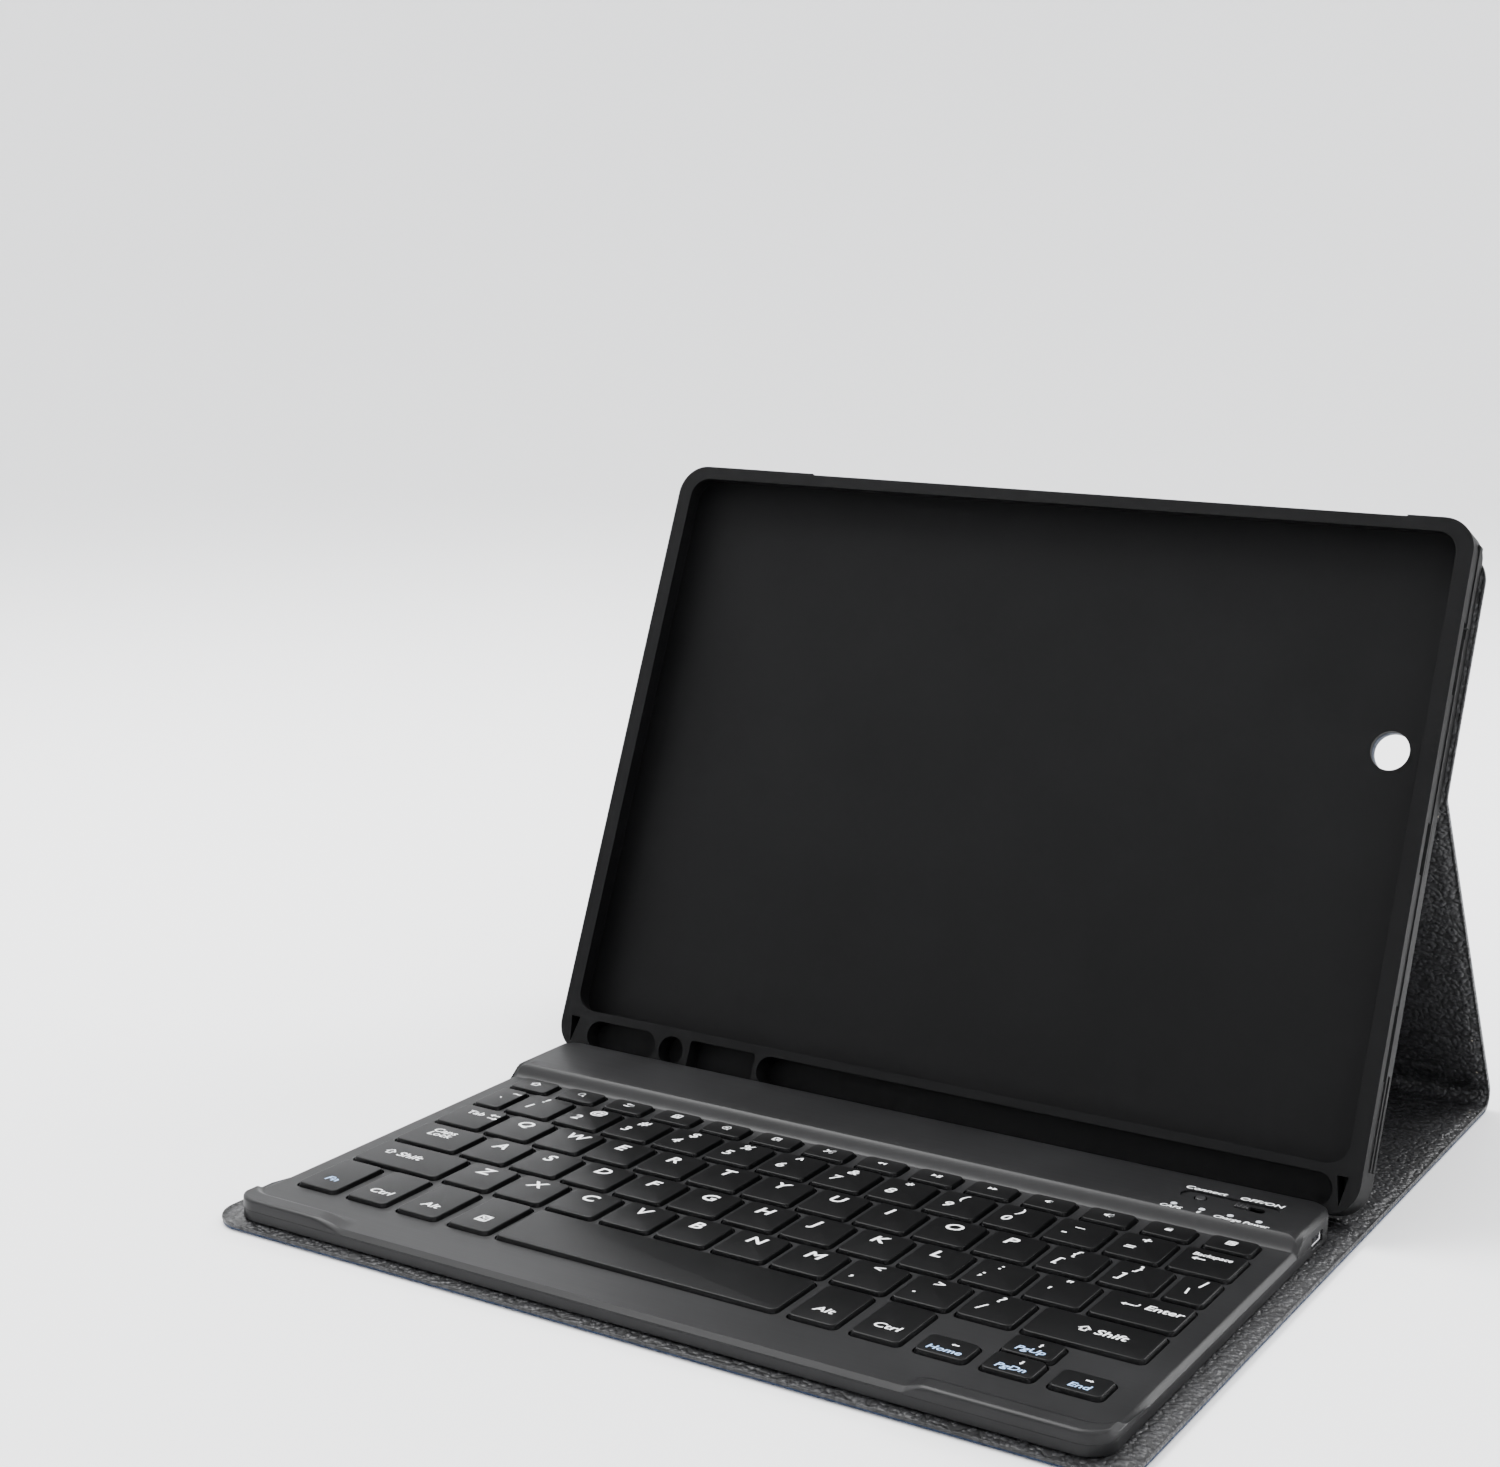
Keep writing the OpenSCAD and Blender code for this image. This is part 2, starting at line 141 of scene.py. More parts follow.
def islands(node):
    """bounding boxes of a CAD node's separate solids, left to right then near to far"""
    me = NODES[node].data
    co = np.array([v.co for v in me.vertices])
    key = {}
    same = np.zeros(len(co), int)
    for i, c in enumerate(co):
        same[i] = key.setdefault(tuple(np.round(c, 5)), len(key))
    parent = list(range(len(key)))

    def find(a):
        while parent[a] != a:
            parent[a] = parent[parent[a]]
            a = parent[a]
        return a

    for p in me.polygons:
        vs = [find(same[v]) for v in p.vertices]
        for v in vs[1:]:
            parent[find(v)] = find(vs[0])
    groups = {}
    for i in range(len(co)):
        groups.setdefault(find(same[i]), []).append(i)
    boxes = [(co[g].min(0), co[g].max(0)) for g in groups.values()]
    return sorted(boxes, key=lambda b: (round(b[0][0], 3), round(b[0][1], 3)))


def face_outward(ob):
    """makes every face of a closed mesh point out of it"""
    bm = bmesh.new()
    bm.from_mesh(ob.data)
    bmesh.ops.recalc_face_normals(bm, faces=bm.faces)
    bm.to_mesh(ob.data)
    bm.free()


def join(obs, name):
    bpy.ops.object.select_all(action="DESELECT")
    for o in obs:
        o.select_set(True)
    bpy.context.view_layer.objects.active = obs[0]
    if len(obs) > 1:
        bpy.ops.object.join()
    ob = bpy.context.view_layer.objects.active
    ob.name = name
    return ob


# ------------------------------------------------------------------ materials

def material(name, base, rough=0.5, spec=0.5, metal=0.0):
    m = bpy.data.materials.new(name)
    m.use_nodes = True
    nt = m.node_tree
    b = nt.nodes["Principled BSDF"]
    b.inputs["Base Color"].default_value = (*base, 1)
    b.inputs["Roughness"].default_value = rough
    b.inputs["Specular IOR Level"].default_value = spec
    b.inputs["Metallic"].default_value = metal
    return m, nt, b


def coords(nt, kind="Object"):
    return nt.nodes.new("ShaderNodeTexCoord").outputs[kind]


def tex(nt, kind, co, scale, **kw):
    t = nt.nodes.new(kind)
    nt.links.new(co, t.inputs["Vector"])
    t.inputs["Scale"].default_value = scale
    for k, v in kw.items():
        if k in t.inputs:
            t.inputs[k].default_value = v
        else:
            setattr(t, k, v)
    return t


def ramp(nt, fac, stops):
    r = nt.nodes.new("ShaderNodeValToRGB")
    el = r.color_ramp.elements
    while len(el) < len(stops):
        el.new(0.5)
    for e, (p, c) in zip(el, stops):
        e.position = p
        e.color = (c, c, c, 1) if isinstance(c, (int, float)) else (*c, 1)
    nt.links.new(fac, r.inputs["Fac"])
    return r.outputs["Color"]


def bump(nt, height, strength, distance):
    b = nt.nodes.new("ShaderNodeBump")
    b.inputs["Strength"].default_value = strength
    b.inputs["Distance"].default_value = distance
    nt.links.new(height, b.inputs["Height"])
    return b.outputs["Normal"]


def mix_math(nt, op, a, b):
    n = nt.nodes.new("ShaderNodeMath")
    n.operation = op
    for s, v in zip(n.inputs, (a, b)):
        if isinstance(v, (int, float)):
            s.default_value = v
        else:
            nt.links.new(v, s)
    return n.outputs[0]


def leather(name, dark, light, pebble, rough, depth, spec, sheet=True):
    """pebbled coated leather: small round hills, a few longer creases and slow colour drift; the base colour
    also carries a painted highlight on the hills and painted shade along the creases
    """
    warp_scale, warp_amount, crease_share, slow_scale = 180.0, 0.0005, 0.21, 26.0
    m, nt, b = material(name, light, rough, spec)
    co = coords(nt, "UV" if sheet else "Object")
    warp = tex(nt, "ShaderNodeTexNoise", co, warp_scale, Detail=2.0)
    mixv = nt.nodes.new("ShaderNodeMix")
    mixv.data_type = "RGBA"
    mixv.blend_type = "LINEAR_LIGHT"
    mixv.inputs["Factor"].default_value = warp_amount
    nt.links.new(co, mixv.inputs["A"])
    nt.links.new(warp.outputs["Color"], mixv.inputs["B"])
    warped = mixv.outputs["Result"]
    cells = tex(nt, "ShaderNodeTexVoronoi", warped, pebble, feature="SMOOTH_F1", Smoothness=0.35)
    creases = tex(nt, "ShaderNodeTexVoronoi", warped, pebble * crease_share, feature="DISTANCE_TO_EDGE")
    slow = tex(nt, "ShaderNodeTexNoise", co, slow_scale, Detail=3.0)
    hills = ramp(nt, cells.outputs["Distance"], [(0.05, 1.0), (0.42, 0.62), (0.66, 0.0)])
    lines = ramp(nt, creases.outputs["Distance"], [(0.0, 0.0), (0.07, 1.0)])
    height = mix_math(nt, "ADD", hills, mix_math(nt, "MULTIPLY", lines, 0.35))
    drift = mix_math(nt, "MULTIPLY", slow.outputs["Fac"], 0.5)
    # base colour: the slow random drift in tone, plus a painted highlight on the hills and painted shade
    # along the creases
    drift_and_painted_relief_light = mix_math(nt, "ADD", mix_math(nt, "MULTIPLY", hills, 0.5), drift)
    drift_and_painted_relief_light = mix_math(nt, "ADD", drift_and_painted_relief_light, mix_math(nt, "MULTIPLY", lines, 0.12))
    nt.links.new(ramp(nt, drift_and_painted_relief_light, [(0.15, dark), (0.9, light)]), b.inputs["Base Color"])
    nt.links.new(ramp(nt, hills, [(0.0, min(1, rough + 0.2)), (1.0, rough)]), b.inputs["Roughness"])
    nt.links.new(bump(nt, height, 0.8, depth), b.inputs["Normal"])
    return m


def plastic(name, base, rough, grain=1800.0, strength=0.12, spec=0.5, drift=0.12, brushed=None):
    """moulded plastic or rubber: fine grain, slow drift in colour and gloss"""
    slow_scale, grain_depth = 35.0, 0.00004
    m, nt, b = material(name, base, rough, spec)
    co = coords(nt)
    if brushed:
        mp = nt.nodes.new("ShaderNodeMapping")
        mp.inputs["Scale"].default_value = brushed
        nt.links.new(co, mp.inputs["Vector"])
        g = tex(nt, "ShaderNodeTexNoise", mp.outputs["Vector"], grain, Detail=3.0)
    else:
        g = tex(nt, "ShaderNodeTexNoise", co, grain, Detail=2.0)
    slow = tex(nt, "ShaderNodeTexNoise", co, slow_scale, Detail=3.0)
    lo = tuple(c * (1 - drift) for c in base)
    hi = tuple(min(1, c * (1 + drift)) for c in base)
    nt.links.new(ramp(nt, slow.outputs["Fac"], [(0.3, lo), (0.7, hi)]), b.inputs["Base Color"])
    r = mix_math(nt, "ADD", mix_math(nt, "MULTIPLY", slow.outputs["Fac"], 0.10), rough - 0.05)
    r = mix_math(nt, "ADD", r, mix_math(nt, "MULTIPLY", g.outputs["Fac"], 0.06))
    nt.links.new(r, b.inputs["Roughness"])
    nt.links.new(bump(nt, g.outputs["Fac"], strength, grain_depth), b.inputs["Normal"])
    return m


# each leather's two colours run from painted shade in the grain's valleys and creases to a painted highlight
# on its hills, with slow random drift in tone between them
NAVY = leather("navy_leather", (0.0022, 0.0088, 0.028), (0.0060, 0.0195, 0.056), 1000.0, 0.40, 0.00018, 0.24)
LINING = leather("dark_lining", (0.0016, 0.0016, 0.0017), (0.030, 0.030, 0.032), 720.0, 0.32, 0.00030, 0.34)
RING = leather("ring_leather", (0.003, 0.010, 0.030), (0.006, 0.020, 0.055),
               1400.0, 0.40, 0.00006, 0.22, sheet=False)
TRAY = plastic("tray_rubber", (0.0038, 0.0038, 0.0040), 0.55, 1500.0, 0.10, spec=0.08)
BRUSHED = (0.05, 1.0, 1.0)
DECK = plastic("deck_plastic", (0.0075, 0.0075, 0.008), 0.38, 900.0, 0.22,
               spec=0.20, drift=0.2, brushed=BRUSHED)
SHELL = plastic("shell_plastic", (0.0055, 0.0055, 0.006), 0.38, 2200.0, 0.15, spec=0.2)
KEY = plastic("key_plastic", (0.0022, 0.0022, 0.0024), 0.34, 2600.0, 0.10, spec=0.13)
CONTROL = plastic("control_plastic", (0.02, 0.02, 0.021), 0.3, 2600.0, 0.08, spec=0.4)
INK = plastic("ink_white", (0.86, 0.87, 0.88), 0.5, 3000.0, 0.05, drift=0.02)
INK_BLUE = plastic("ink_blue", (0.32, 0.50, 0.80), 0.5, 3000.0, 0.05, drift=0.02)
BOARD = plastic("board", (0.30, 0.27, 0.23), 0.85, 700.0, 0.3, spec=0.2)
FILM = plastic("membrane_film", (0.60, 0.63, 0.58), 0.35, 1200.0, 0.05)
DOME = plastic("dome_rubber", (0.60, 0.60, 0.58), 0.6, 1500.0, 0.1)
CIRCUIT = plastic("circuit", (0.02, 0.14, 0.06), 0.3, 1500.0, 0.1)
LIGHT = plastic("light_pipe", (0.55, 0.57, 0.60), 0.18, 2500.0, 0.03, drift=0.03)


def metal(name, base, rough):
    """bare metal with fine marks along X"""
    m, nt, b = material(name, base, rough, 0.5, 1.0)
    co = coords(nt)
    mp = nt.nodes.new("ShaderNodeMapping")
    mp.inputs["Scale"].default_value = BRUSHED
    nt.links.new(co, mp.inputs["Vector"])
    g = tex(nt, "ShaderNodeTexNoise", mp.outputs["Vector"], 1500.0, Detail=4.0)
    marks = mix_math(nt, "MULTIPLY", g.outputs["Fac"], 0.22)
    nt.links.new(mix_math(nt, "ADD", marks, rough - 0.1), b.inputs["Roughness"])
    nt.links.new(bump(nt, g.outputs["Fac"], 0.1, 0.00003), b.inputs["Normal"])
    return m


STEEL = metal("steel", (0.55, 0.55, 0.57), 0.35)
PORT = metal("port_metal", (0.62, 0.62, 0.64), 0.28)
FOIL = metal("cell_foil", (0.60, 0.61, 0.63), 0.42)

BY_SLOT = {"navy_leather": NAVY, "dark_lining": LINING, "board": BOARD, "steel": STEEL, "tray_rubber": TRAY,
           "deck_plastic": DECK, "shell_plastic": SHELL, "key_plastic": KEY, "control_plastic": CONTROL,
           "membrane_film": FILM, "dome_rubber": DOME, "cell_foil": FOIL, "circuit": CIRCUIT,
           "port_metal": PORT, "light_pipe": LIGHT, "ring_leather": RING}
SLOT_OF = {s["node"]: s["material_slot"] for s in REC["subparts"]}
for n, o in NODES.items():
    o.data.materials.clear()
    o.data.materials.append(BY_SLOT[SLOT_OF[n]])


def soften(node, width, segments=2, angle=32):
    """rounds a CAD node's edges as a moulding's are"""
    o = NODES[node]
    w = o.modifiers.new("weld", "WELD")
    w.merge_threshold = 1e-6
    d = o.modifiers.new("flat", "DECIMATE")
    d.decimate_type = "DISSOLVE"
    d.angle_limit = math.radians(1.0)
    b = o.modifiers.new("round", "BEVEL")
    b.width = width
    b.segments = segments
    b.limit_method = "ANGLE"
    b.angle_limit = math.radians(angle)
    b.harden_normals = False
    for p in o.data.polygons:
        p.use_smooth = True
    wn = o.modifiers.new("normals", "WEIGHTED_NORMAL")
    wn.keep_sharp = True


for n, w in (("keyboard_bottom", 0.0004), ("tray_shell", 0.0006),
             ("camera_ring", 0.0004), ("pairing_button", 0.0003),
             ("power_slider", 0.00015), ("charge_port", 0.0002)):
    soften(n, w)

# ------------------------------------------------------------------ cover

base_lo, base_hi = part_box("base_leather")
R_AX = Vector(JOINTS["strut_crease"]["pos_m"])
M_AX = Vector(JOINTS["tray_crease"]["pos_m"])
turn = math.radians(-JOINTS["strut_crease"]["range_deg"][0])
lean_head = turn - math.radians(JOINTS["tray_crease"]["range_deg"][1])
lining_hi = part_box("base_lining")[1]
THICK = lining_hi.z - base_lo.z
HALF = (base_hi.x - base_lo.x) / 2
EDGE_R = 0.009          # radius of the sheet's four corners, seen from above
up_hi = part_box("upper_leather")[1]


def direction(a):
    return np.array([math.cos(a), math.sin(a)])


def left(d):
    return np.array([-d[1], d[0]])


class Path:
    """middle line of the cover in the YZ plane, from the front edge over both creases to the top edge"""

    def __init__(self):
        self.pts, self.dirs, self.s = [], [], []

    def add(self, p, a):
        p = np.array(p, float)
        if self.pts:
            self.s.append(self.s[-1] + float(np.hypot(*(p - self.pts[-1]))))
        else:
            self.s.append(0.0)
        self.pts.append(p)
        self.dirs.append(a)

    def line(self, q, step):
        p, a = self.pts[-1], self.dirs[-1]
        q = np.array(q, float)
        n = max(1, int(round(np.hypot(*(q - p)) / step)))
        for k in range(1, n + 1):
            self.add(p + (q - p) * k / n, a)

    def arc(self, radius, bend, n):
        """turns by bend about a centre on its left (bend > 0) or right"""
        p, a = self.pts[-1], self.dirs[-1]
        side = 1 if bend > 0 else -1
        c = p + left(direction(a)) * radius * side
        for k in range(1, n + 1):
            b = a + bend * k / n
            self.add(c - left(direction(b)) * radius * side, b)


def corner(p_axis, a0, a1, off, radius):
    """tangent points of an arc between two lines that pass the axis at the same offset to their left"""
    bend = a1 - a0
    # both lines lie off to the left of the axis, so they cross on the bisector
    m = (a0 + a1) / 2
    apex = p_axis + left(direction(m)) * off / math.cos(bend / 2)
    t = radius * abs(math.tan(bend / 2))
    return apex - direction(a0) * t, apex + direction(a1) * t


mid_off = THICK / 2
r_axis = np.array([R_AX.y, R_AX.z])
m_axis = np.array([M_AX.y, M_AX.z])
FOLD_R, FOLD_M = 0.0040, 0.0030     # radii of the rear bend and of the bend at the tray
ROUND_STEPS = 12                    # stations round each end's corners
TOP_EXTRA = 0.00011                 # the middle line ends this far above the CAD leather's top corner
r_in, r_out = corner(r_axis, 0.0, turn, mid_off - R_AX.z, FOLD_R)
m_in, m_out = corner(m_axis, turn, lean_head, 0.0, FOLD_M)
top_len = (up_hi.z - M_AX.z + TOP_EXTRA) / math.sin(lean_head)
STEP = 0.0005
path = Path()
path.add((base_lo.y, base_lo.z + mid_off), 0.0)
for k in range(1, ROUND_STEPS + 1):
    path.add((base_lo.y + EDGE_R * (1 - math.cos(math.pi / 2 * k / ROUND_STEPS)), base_lo.z + mid_off), 0.0)
path.line(r_in, STEP)
i_r0 = len(path.pts) - 1
path.arc(FOLD_R, turn, 16)
i_r1 = len(path.pts) - 1
path.line(m_in, STEP)
i_m0 = len(path.pts) - 1
path.arc(FOLD_M, lean_head - turn, 10)
i_m1 = len(path.pts) - 1
end = m_axis + direction(lean_head) * top_len
path.line(end - direction(lean_head) * EDGE_R, STEP)
for k in range(1, ROUND_STEPS + 1):
    path.add(end - direction(lean_head) * EDGE_R * (1 - math.sin(math.pi / 2 * k / ROUND_STEPS)), lean_head)
PTS, DIRS, S = np.array(path.pts), np.array(path.dirs), np.array(path.s)
S_END = S[-1]
NORM = np.stack([left(direction(a)) for a in DIRS])

# the panels' lines, along the path
spine0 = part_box("spine_board")[0].y - base_lo.y
spine1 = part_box("spine_board")[1].y - base_lo.y
flap0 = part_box("flap_board_inner")[0].y - base_lo.y
flapm = (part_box("flap_board_inner")[1].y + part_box("flap_board_outer")[0].y) / 2 - base_lo.y
S_R, S_M = (S[i_r0] + S[i_r1]) / 2, (S[i_m0] + S[i_m1]) / 2
CREASES = [spine0 - 0.0015, (spine1 + flap0) / 2, flapm]
FOOT_LINES = [S_R - 0.010, S_R + 0.011, S_R + 0.0255, S_M - 0.006]


def station_values():
    """positions along the path: close together at bends, creases and panel edges"""
    fine_step, coarse_step, least_gap = 0.00035, 0.0024, 0.00022
    marks = [v for s0, s1 in OUTER for v in (s0, s1)] + CREASES + FOOT_LINES
    fine = set()
    for m in marks:
        for k in range(-9, 10):
            fine.add(round(m + k * fine_step, 6))
    for a, b, n in ((S[i_r0], S[i_r1], 20), (S[i_m0], S[i_m1], 14)):
        for k in range(-3, n + 4):
            fine.add(round(a + (b - a) * k / n, 6))
    for k in range(15):
        d = EDGE_R * (1 - math.cos(math.pi / 2 * k / 14))
        fine.add(round(d, 6))
        fine.add(round(S_END - d, 6))
    v = 0.0
    while v < S_END:
        fine.add(round(v, 6))
        v += coarse_step
    vals = sorted(f for f in fine if 0 <= f <= S_END)
    out = [0.0]
    for f in vals:
        if f - out[-1] > least_gap:
            out.append(f)
    out[-1] = S_END
    return np.array(out)


def half_width(s, inset=0.0):
    d = min(s, S_END - s) - inset
    r = EDGE_R - inset
    if d >= r:
        return HALF - inset
    return HALF - inset - r + math.sqrt(max(0.0, r * r - (r - max(d, 0.0)) ** 2))


def smoothstep(x):
    x = np.clip(x, 0, 1)
    return x * x * (3 - 2 * x)


def panel_edge(s, x, s0, s1, x1, r):
    """distance outside (+) or inside (-) a rounded panel"""
    cx = np.abs(x) - (x1 - r)
    cy = np.abs(s - (s0 + s1) / 2) - ((s1 - s0) / 2 - r)
    return np.hypot(np.maximum(cx, 0), np.maximum(cy, 0)) + np.minimum(np.maximum(cx, cy), 0) - r


# embossed panels on the outside, as on the closed case's back: where each starts and ends along the path
OUTER = [(0.010, spine0 - 0.008), (flap0 + 0.0030, flapm - 0.0018), (flapm + 0.0022, S_R - 0.0085),
         (S_R + 0.0085, S_R + 0.0405), (S_R + 0.0455, S_M - 0.0065), (S_M + 0.0065, S_END - 0.009)]
OUTER_X = 0.1195        # half width of a panel
OUTER_R = 0.007         # radius of its corners
GROOVE = 0.00042        # depth of the groove round it
STEP_DOWN = 0.00016     # how much lower the leather lies between the panels


def outer_groove(s, x):
    """how far the outside is pressed in: a groove round each panel, and a little everywhere between them"""
    near = np.full(np.broadcast(s, x).shape, 1.0)
    for s0, s1 in OUTER:
        near = np.minimum(near, panel_edge(s, x, s0, s1, OUTER_X, OUTER_R))
    return STEP_DOWN * smoothstep(near / 0.0010) + GROOVE * np.exp(-((near - 0.0002) / 0.00085) ** 2)


def rim_fall(s, x, hw):
    """the lining slopes down over its last few millimetres, where it is turned under"""
    d = np.minimum(hw - np.abs(x), min(s, S_END - s))
    return 0.0006 * (1 - smoothstep(d / 0.0042)) + 0.00012 * (1 - smoothstep(d / 0.012))


def crease_depth(s):
    """how far the lining is pressed in along its creases and along the lines near its foot"""
    depth = 0.0004
    h = 0.0
    for places, width in ((CREASES, 0.0012), (FOOT_LINES, 0.0009)):
        for c in places:
            h += np.exp(-((s - c) / width) ** 2) * depth
    return h


def column_places():
    """places across a sheet, -1 to 1: close together at the panels' grooves and at both edges"""
    groove_place, groove_step, rim_step, plain_step = 0.0068, 0.0036 / 9, 0.0004, 0.0024
    near_edge = [HALF - groove_place - groove_step * k for k in range(-9, 10)]
    near_edge += [HALF - 0.0002 - rim_step * k for k in range(6)]
    plain = list(np.arange(plain_step, HALF - 0.012, plain_step))
    half_t = np.array(sorted(set(round(v / HALF, 5) for v in near_edge + plain if 0 < v < HALF)))
    return np.concatenate([[-1.0], -half_t[::-1], [0.0], half_t, [1.0]])


def band(name, i0, i1, mat, inset, lo_off, hi_off, kind):
    """one sheet of the cover between two stations of the path: a thin closed solid with rounded edges"""
    idx = [i for i in range(i0, i1 + 1) if inset <= S[i] <= S_END - inset]
    t = column_places()
    cols = len(t) - 1
    edge_turn = 5               # faces round each side edge
    edge_r = (hi_off - lo_off) / 2
    edge_mid = (lo_off + hi_off) / 2
    edge_uv = 0.0003            # step of the leather's pattern round the edge
    ring_len = 2 * (cols + edge_turn)
    verts, uvs = [], []
    for i in idx:
        hw = half_width(S[i], inset)
        ring = []
        xs = t * max(hw - edge_r, 1e-4)
        press = outer_groove(S[i], xs) if kind == "leather" else np.zeros(len(xs))
        fall = rim_fall(S[i], xs, hw) if kind == "lining" else np.zeros(len(xs))
        dip = crease_depth(S[i]) if kind == "lining" else 0.0
        # the underside from left to right, round the edge, and back along the upper side
        for x, h in zip(xs, press):
            ring.append((x, lo_off + h, x))
        for k in range(1, edge_turn):
            a = -math.pi / 2 + math.pi * k / edge_turn
            ring.append((xs[-1] + edge_r * math.cos(a), edge_mid + edge_r * math.sin(a), hw + k * edge_uv))
        for x, f in zip(xs[::-1], fall[::-1]):
            ring.append((x, hi_off - dip - f, x))
        for k in range(1, edge_turn):
            a = math.pi / 2 + math.pi * k / edge_turn
            ring.append((xs[0] + edge_r * math.cos(a), edge_mid + edge_r * math.sin(a), -hw - k * edge_uv))
        for x, off, u in ring:
            y, z = PTS[i] + NORM[i] * off
            verts.append((x, y, z))
            uvs.append((u, S[i]))
    faces = []
    for k in range(len(idx) - 1):
        a, b = k * ring_len, (k + 1) * ring_len
        for j in range(ring_len):
            m = (j + 1) % ring_len
            faces.append((a + j, a + m, b + m, b + j))
    for start, flip in ((0, True), ((len(idx) - 1) * ring_len, False)):
        lower = list(range(start, start + cols + 1))
        upper = list(range(start + cols + edge_turn, start + 2 * cols + edge_turn + 1))[::-1]
        for j in range(cols):
            q = (lower[j], lower[j + 1], upper[j + 1], upper[j])
            faces.append(q if not flip else q[::-1])
        side = [lower[-1]] + list(range(start + cols + 1, start + cols + edge_turn)) + [upper[-1]]
        other = [upper[0]] + list(range(start + 2 * cols + edge_turn + 1, start + ring_len)) + [lower[0]]
        faces.append(tuple(side if not flip else side[::-1]))
        faces.append(tuple(other if not flip else other[::-1]))
    ob = new_mesh(name, verts, faces)
    uv = ob.data.uv_layers.new(name="UVMap")
    flat = np.array(uvs)
    loops = np.array([l.vertex_index for l in ob.data.loops])
    uv.data.foreach_set("uv", flat[loops].astype(np.float32).ravel())
    ob.data.materials.append(mat)
    face_outward(ob)
    return ob


cam_lo, cam_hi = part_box("camera_ring")
HOLE_AT = (cam_lo + cam_hi) / 2
RING_WIDTH = 0.0016
HOLE_R = (cam_hi.x - cam_lo.x) / 2 - RING_WIDTH
DRILL_HALF = 0.02


def cylinder_mesh(name, centre, axis, r, half, n=48):
    """round bar about centre, half long on each side of it"""
    axis = Vector(axis).normalized()
    u = axis.orthogonal().normalized()
    w = axis.cross(u)
    rings = [[centre + axis * h + (u * math.cos(a) + w * math.sin(a)) * r
              for a in [2 * math.pi * k / n for k in range(n)]] for h in (-half, half)]
    v, f = loft(rings)
    return new_mesh(name, v, f)


def cut(ob, tool):
    """takes tool's shape out of ob, and removes tool"""
    m = ob.modifiers.new("cut", "BOOLEAN")
    m.operation = "DIFFERENCE"
    m.solver = "MANIFOLD"
    m.object = tool
    bpy.context.view_layer.update()
    me = bpy.data.meshes.new_from_object(ob.evaluated_get(bpy.context.evaluated_depsgraph_get()))
    ob.modifiers.clear()
    ob.data = me
    bpy.data.objects.remove(tool)


def pierce(ob):
    """hole for the tablet's camera"""
    d = direction(lean_head)
    n = left(d)
    cut(ob, cylinder_mesh("drill", HOLE_AT, (0, n[0], n[1]), HOLE_R, DRILL_HALF))


def resample():
    """replaces the dense path by the chosen stations; returns the bends' new places"""
    global PTS, DIRS, NORM, S
    marks = [S[i_r0], S[i_r1], S[i_m0], S[i_m1]]
    vals = station_values()
    PTS = np.stack([np.interp(vals, S, PTS[:, k]) for k in (0, 1)], 1)
    DIRS = np.interp(vals, S, DIRS)
    S = vals
    NORM = np.stack([left(direction(a)) for a in DIRS])
    return [int(np.argmin(np.abs(S - m))) for m in marks]


i_r0, i_r1, i_m0, i_m1 = resample()
i_half = int(np.argmin(np.abs(S - (S[i_r1] + S[i_m0]) / 2)))
last = len(S) - 1
LEATHER_INSET = 0.0002      # the leather ends this much inside the lining's edge
LEATHER_TOP, LINING_BASE = -0.0002, -0.0004     # the two sheets overlap inside the laminate
SHEETS = (("leather", NAVY, LEATHER_INSET, -THICK / 2, LEATHER_TOP, "navy_leather"),
          ("lining", LINING, 0.0, LINING_BASE, THICK / 2, "dark_lining"))
for kind, mat, inset, lo, hi, slot in SHEETS:
    low = band("cover_%s_lower" % kind, 0, i_half, mat, inset, lo, hi, kind)
    high = band("cover_%s_upper" % kind, i_half, last, mat, inset, lo, hi, kind)
    pierce(high)
    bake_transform(low)
    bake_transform(high)
    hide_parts("base_" + kind, "strut_" + kind)
    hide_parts("upper_" + kind)

# ------------------------------------------------------------------ tray trim

SCREEN_Y, SCREEN_Z = 0.047, 0.0975      # middle of the tablet's glass
TRAY_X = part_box("tray_shell")[1].x
up_dir = direction(lean_head)
back_dir = -left(up_dir)
if back_dir[0] < 0:
    back_dir = -back_dir
RIB_SINK, RIB_STAND = 0.0004, 0.00035   # how far a rib reaches into the side wall, and out of it
RIB_SLOPE, RIB_END = 0.0003, 0.0004     # how much it narrows and shortens towards its outer face
# each rib: from and to up the screen, from and to back from the glass
RIBS = ((-0.086, 0.058, 0.0038, 0.0047), (0.0605, 0.084, 0.0040, 0.0064), (-0.086, -0.060, 0.0066, 0.0082))


def tray_point(x, v, w):
    """place in the tray: x across, v up from the screen's middle, w back from the glass"""
    y = SCREEN_Y + v * up_dir[0] + w * back_dir[0]
    z = SCREEN_Z + v * up_dir[1] + w * back_dir[1]
    return (x, y, z)


ribs_v, ribs_f = [], []
for side in (-1, 1):
    x0, x1 = side * (TRAY_X - RIB_SINK), side * (TRAY_X + RIB_STAND)
    for v0, v1, w0, w1 in RIBS:
        ends = [[tray_point(x0, v, w0 - RIB_SLOPE), tray_point(x1, v_out, w0),
                 tray_point(x1, v_out, w1), tray_point(x0, v, w1 + RIB_SLOPE)]
                for v, v_out in ((v0, v0 + RIB_END), (v1, v1 - RIB_END))]
        v, f = loft(ends)
        ribs_f += [tuple(i + len(ribs_v) for i in q) for q in f]
        ribs_v += v
ribs = new_mesh("tray_side_ribs", ribs_v, ribs_f, False)
face_outward(ribs)
ribs.data.materials.append(TRAY)
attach(ribs, "tray")

# ------------------------------------------------------------------ keys

